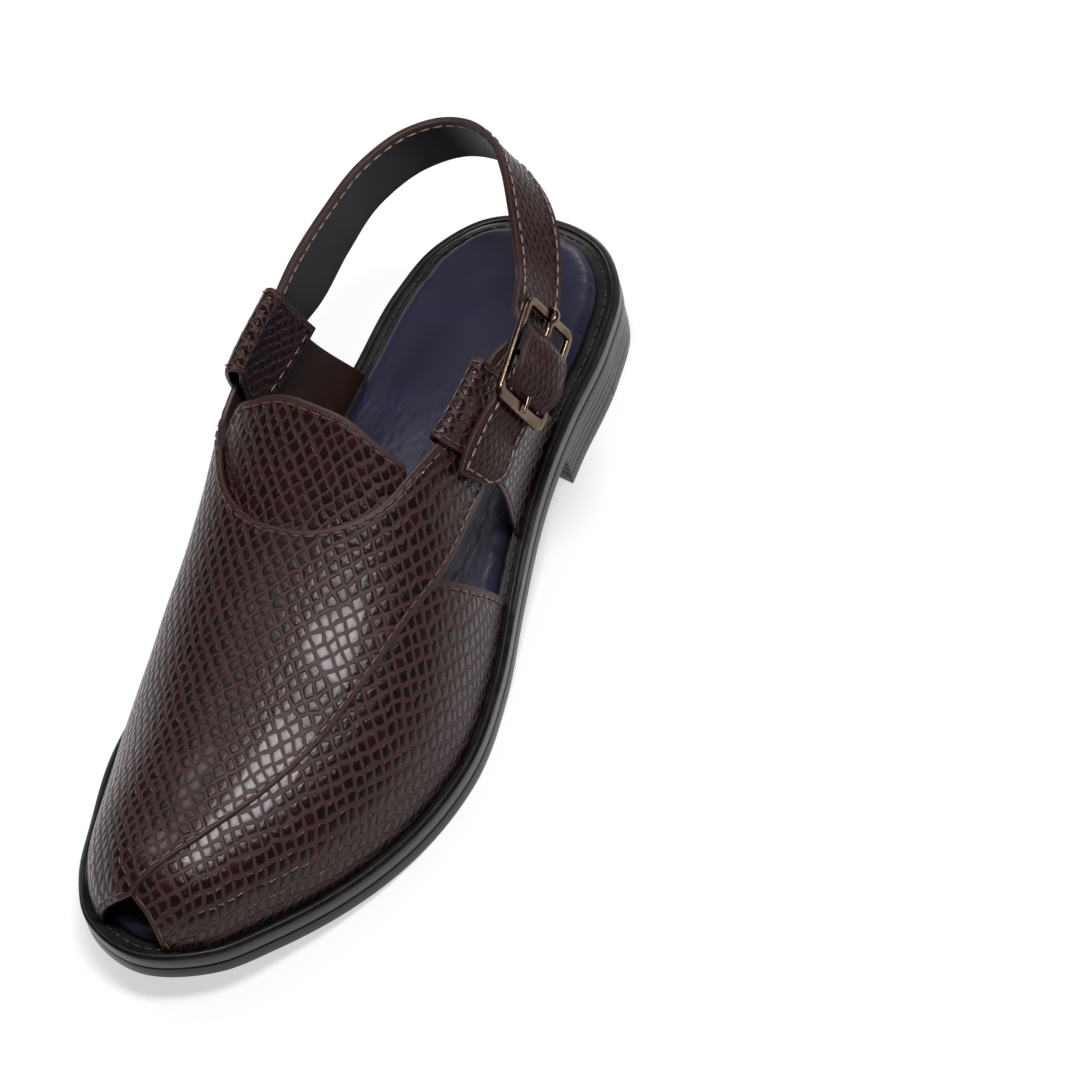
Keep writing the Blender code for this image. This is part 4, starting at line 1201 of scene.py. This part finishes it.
def makeEdgePattern():
    # a running row of small hooks along both edges of the waist
    pitch = edgePattern["pitch"]
    radius = edgePattern["radius"]
    x0, x1 = (placeOf(edgePattern[key]) for key in ("start", "end"))
    ring = insetRing(edgeLine, edgePattern["inset"])
    turns = np.linspace(0, 2 * math.pi, 6, endpoint=False)
    verts = []
    faces = []
    for side in (1, -1):
        line = ring[(ring[:, 0] > x0) & (ring[:, 0] < x1) & (ring[:, 1] * side > 0)]
        line = line[np.argsort(line[:, 0])]
        run = lengths(line)
        for place in np.arange(0, run[-1] - pitch, pitch):
            here, ahead = pointAt(run, line, (place, place + pitch))
            along = unit(ahead - here)
            out = np.array((-along[1], along[0])) * side
            path = smoothLine([here + (along * a + out * b) * pitch
                               for a, b in edgePattern["shape"]], 0.4 * mm)
            heading = unit(np.gradient(path, axis=0))
            start = len(verts)
            for (x, y), (dx, dy) in zip(path, heading):
                level = float(soleLevel(x)) + radius * 0.8 - edgePattern["stand"]
                verts += [(x - dy * radius * math.cos(t), y + dx * radius * math.cos(t),
                           level + radius * 0.8 * math.sin(t)) for t in turns]
            count = len(turns)
            for k in range(len(path) - 1):
                faces += [(start + k * count + i, start + k * count + (i + 1) % count,
                           start + (k + 1) * count + (i + 1) % count,
                           start + (k + 1) * count + i) for i in range(count)]
            faces.append(tuple(range(start, start + count)))
            faces.append(tuple(range(len(verts) - count, len(verts))))
    ob = makeMesh("edgePattern", verts, faces, "soleLeather")
    faceOutwards(ob)
    finishPiece(ob, "sole_leather", smooth=60)


def heelRing(start, end, inset):
    # the sole's outline between two shares of the length; the front line bows back
    edge = insetRing(edgeLine, inset)
    turned = np.roll(edge, -edge[:, 0].argmin(), 0)
    toe = turned[:, 0].argmax()
    x0 = placeOf(start)
    x1 = placeOf(end)
    sides = []
    for line in (turned[:toe], np.vstack([turned[toe:], turned[:1]])[::-1]):
        low, high = np.interp((x0, x1), line[:, 0], line[:, 1])
        first = [(x0, low)] if start > 0 else [line[0]]
        kept = line[(line[:, 0] > max(x0, line[0, 0]) + 0.3 * mm) & (line[:, 0] < x1 - 0.5 * mm)]
        sides.append(smoothLine(first + list(kept) + [(x1, high)], 1.6 * mm))

    def bowed(a, b):
        t = np.linspace(0, 1, 31)[1:-1]
        line = a + (b - a) * t[:, None]
        line[:, 0] -= outsole["breastBow"] * 4 * t * (1 - t)
        return line

    ring = list(sides[0]) + list(bowed(sides[0][-1], sides[1][-1]))
    if start > 0:
        ring += list(sides[1][::-1]) + list(bowed(sides[1][0], sides[0][0]))
    else:
        ring += list(sides[1][:0:-1])
    return np.array(ring)


def makeHeel():
    low = sole["topPiece"] + outsole["liftGap"]
    high = sole["heelHeight"] - outsole["liftGap"]
    ring = heelRing(0.0, sole["breast"], outsole["heelTaper"] * outsole["liftInset"])
    # lifts of leather, with a fine joint between each two
    joints = [low] + [low + (high - low) * share for share in outsole["liftJoints"]] + [high]
    for k, (a, b) in enumerate(zip(joints[:-1], joints[1:])):
        lift = flatPlate(f"heelLift{k + 1}", ring, a + 0.01 * mm, b - 0.01 * mm, "edge", False)
        addBevel(lift, outsole["liftRound"])
        finishPiece(lift, "black_edge", *(["heel_stack"] if k == 0 else []))
    for name, start, end, finish, node, slotName in (
            ("topLeather", outsole["topSplit"], sole["breast"], "soleLeather",
             "heel_top_leather", "sole_leather"),
            ("topRubber", 0.0, outsole["topSplit"] - outsole["splitGap"], "knurled",
             "heel_top_rubber", "rubber")):
        ring = heelRing(start, end, outsole["heelTaper"])
        piece = flatPlate(name, ring, 0.0, sole["topPiece"], [finish, "edge"], False)
        addBevel(piece, outsole["topRound"])
        applyAll(piece)
        for face in piece.data.polygons:
            face.material_index = 0 if face.normal.z < -0.8 else 1
        finishPiece(piece, slotName, node)


welt = {
    "gap": 0.3 * mm,
    "bead": (1.9 * mm, 1.1 * mm),   # inset at the heel, and how much of it goes to the toe
    "beadRadius": 0.5 * mm,
    "edgeRound": 0.25 * mm,
    "seam": 4.15 * mm,
    "stitch": (3.2 * mm, 4.0 * mm, 0.42 * mm),
}


def makeWelt():
    bead = welt["bead"][0] - welt["bead"][1] * ease(shareOf(edgeLine[:, 0]), 0.25, 0.75)
    low = sole["outsole"] + welt["gap"]
    edge = welt["edgeRound"]
    radius = welt["beadRadius"]
    top = sole["weltTop"]
    high = sole["beadTop"]
    profile = [(sole["weltInner"], low), (edge, low), (0, low + edge),
               (0, top - 0.5 * mm), (0.08 * mm, top - 0.2 * mm), (0.3 * mm, top),
               (bead - 0.1 * mm, top - 0.15 * mm), (bead, top + 0.1 * mm)]
    for turn in np.radians(np.arange(150, -31, -30)):
        profile.append((bead + 0.55 * mm - radius * math.cos(turn),
                        high - radius + radius * math.sin(turn)))
    profile += [(bead + 1.15 * mm, sole["channel"]), (sole["weltInner"], sole["channel"])]
    lines = []
    for inset, height in profile:
        line = insetRing(edgeLine, inset)
        lines.append(np.column_stack([line, soleLevel(line[:, 0]) + height]))
    grid = np.array(lines).transpose(1, 0, 2)
    count, width, _ = grid.shape
    faces = [tuple(a % count * width + b % width
                   for a, b in ((k, i + 1), (k, i), (k + 1, i), (k + 1, i + 1)))
             for k in range(count) for i in range(width)]
    ob = makeMesh("weltRing", grid.reshape(-1, 3), faces, "edge")
    faceOutwards(ob)
    finishPiece(ob, "black_edge", "welt", smooth=50)
    line = insetRing(edgeLine, welt["seam"] + bead * 0.15)
    points = np.column_stack([line, soleLevel(line[:, 0]) + sole["channel"]])
    points = np.vstack([points, points[:1]])
    normals = np.tile((0, 0, 1.0), (len(points), 1))
    sewLine("weltStitches", [(points, normals)], "weltThread", *welt["stitch"],
            slotName="black_edge")


footbed = {
    "spacing": 2.2 * mm,
    "side": 1.2 * mm,
    "puff": 3.3 * mm,
    "roll": 4.2 * mm,
    "crown": 0.9 * mm,
    "crownReach": 20 * mm,
}


def makeFootbedPad():
    ring = smoothRing(insetRing(edgeLine, sole["footbedInset"]), 300)
    flat, faces = fillRing(ring, footbed["spacing"])
    depth = distanceToLine(flat, ring[::2], closed=True)
    puff = footbed["puff"] * np.sqrt(1 - (1 - np.clip(depth / footbed["roll"], 0, 1)) ** 2)
    crown = footbed["crown"] * ease(depth, 0, footbed["crownReach"])
    z = soleLevel(flat[:, 0]) + sole["footbedBase"] + footbed["side"] + puff + crown
    top = np.column_stack([flat, z])
    ob = makeMesh("footbedPad", top, orient(top, faces, np.tile((0, 0, 1.0), (len(top), 1))),
                  "footbed")
    extrudeUp(ob, -1.0 * mm)
    for v in ob.data.vertices:
        if v.select:
            v.co.z = float(soleLevel(v.co.x)) + sole["footbedBase"] + 0.05 * mm
    faceOutwards(ob)
    addModifier(ob, "SUBSURF", levels=1, render_levels=1)
    finishPiece(ob, "footbed_leather", "footbed", smooth=60)


makeOutsole()
makeTreadBlocks()
makeEdgePattern()
makeHeel()
makeWelt()
makeFootbedPad()
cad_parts["insole"].material_slots[0].material = finishes["board"]
print("sole made")


# Floor, lights and camera
studio = {
    "floor": (0.42, 0.42, 0.42),
    "floorGlow": 0.60,
    "glowColour": (0.985, 1.0, 1.0),
    "world": 0.06,
    "lightColour": (1.0, 0.940, 0.955),
    "target": (0.02, 0, 0.04),
    "lights": [  # azimuth from +X to +Y, elevation, distance, width, height, power
        (-60, 70, 2.0, 1.3, 1.0, 2.3),
        (90, 77, 1.7, 0.30, 0.80, 26),
        (-113, 60, 2.0, 0.50, 0.40, 5.0),
        (-172, 24, 1.8, 0.5, 0.2, 7),
    ],
}
cameraPose = {
    "place": np.array((910.85, 782.87, 1462.43)) * mm,
    "right": np.array((-0.410759, 0.892243, -0.187559)),
    "down": np.array((0.761092, 0.222287, -0.609366)),
    "lens": 206.45,
}


def makeStudio():
    bpy.ops.object.select_all(action="DESELECT")
    bpy.ops.mesh.primitive_plane_add(size=12)
    floor = bpy.context.active_object
    floor.name = "floor"
    f = Finish("pale floor", baseColor=studio["floor"], roughness=0.7,
               emissionColor=studio["glowColour"], emissionStrength=studio["floorGlow"])
    floor.data.materials.append(f.material)
    world = bpy.data.worlds.new("studio")
    world.use_nodes = True
    background = world.node_tree.nodes["Background"]
    background.inputs["Color"].default_value = (1, 1, 1, 1)
    background.inputs["Strength"].default_value = studio["world"]
    bpy.context.scene.world = world
    target = Vector(studio["target"])
    for k, (azimuth, elevation, distance, width, height, power) in enumerate(studio["lights"]):
        a, e = np.radians((azimuth, elevation))
        out = Vector((math.cos(a) * math.cos(e), math.sin(a) * math.cos(e), math.sin(e)))
        data = bpy.data.lights.new(f"softbox{k + 1}", "AREA")
        data.shape = "RECTANGLE"
        data.size = width
        data.size_y = height
        data.energy = power
        data.color = studio["lightColour"]
        light = bpy.data.objects.new(data.name, data)
        light.location = target + out * distance
        light.rotation_mode = "QUATERNION"
        light.rotation_quaternion = out.to_track_quat("Z", "Y")
        bpy.context.scene.collection.objects.link(light)
    scene = bpy.context.scene
    scene.view_settings.view_transform = "Standard"
    data = bpy.data.cameras.new("camera")
    data.lens = cameraPose["lens"]
    data.sensor_width = 36
    data.clip_end = 20
    camera = bpy.data.objects.new("camera", data)
    backward = np.cross(cameraPose["down"], cameraPose["right"])
    columns = (cameraPose["right"], -cameraPose["down"], backward)
    turn = Matrix([[c[k] for c in columns] for k in range(3)])
    camera.matrix_world = (Matrix.Translation(Vector(cameraPose["place"] + (0, centreLine, 0)))
                           @ turn.to_4x4())
    scene.collection.objects.link(camera)
    scene.camera = camera


makeStudio()
print("studio made")
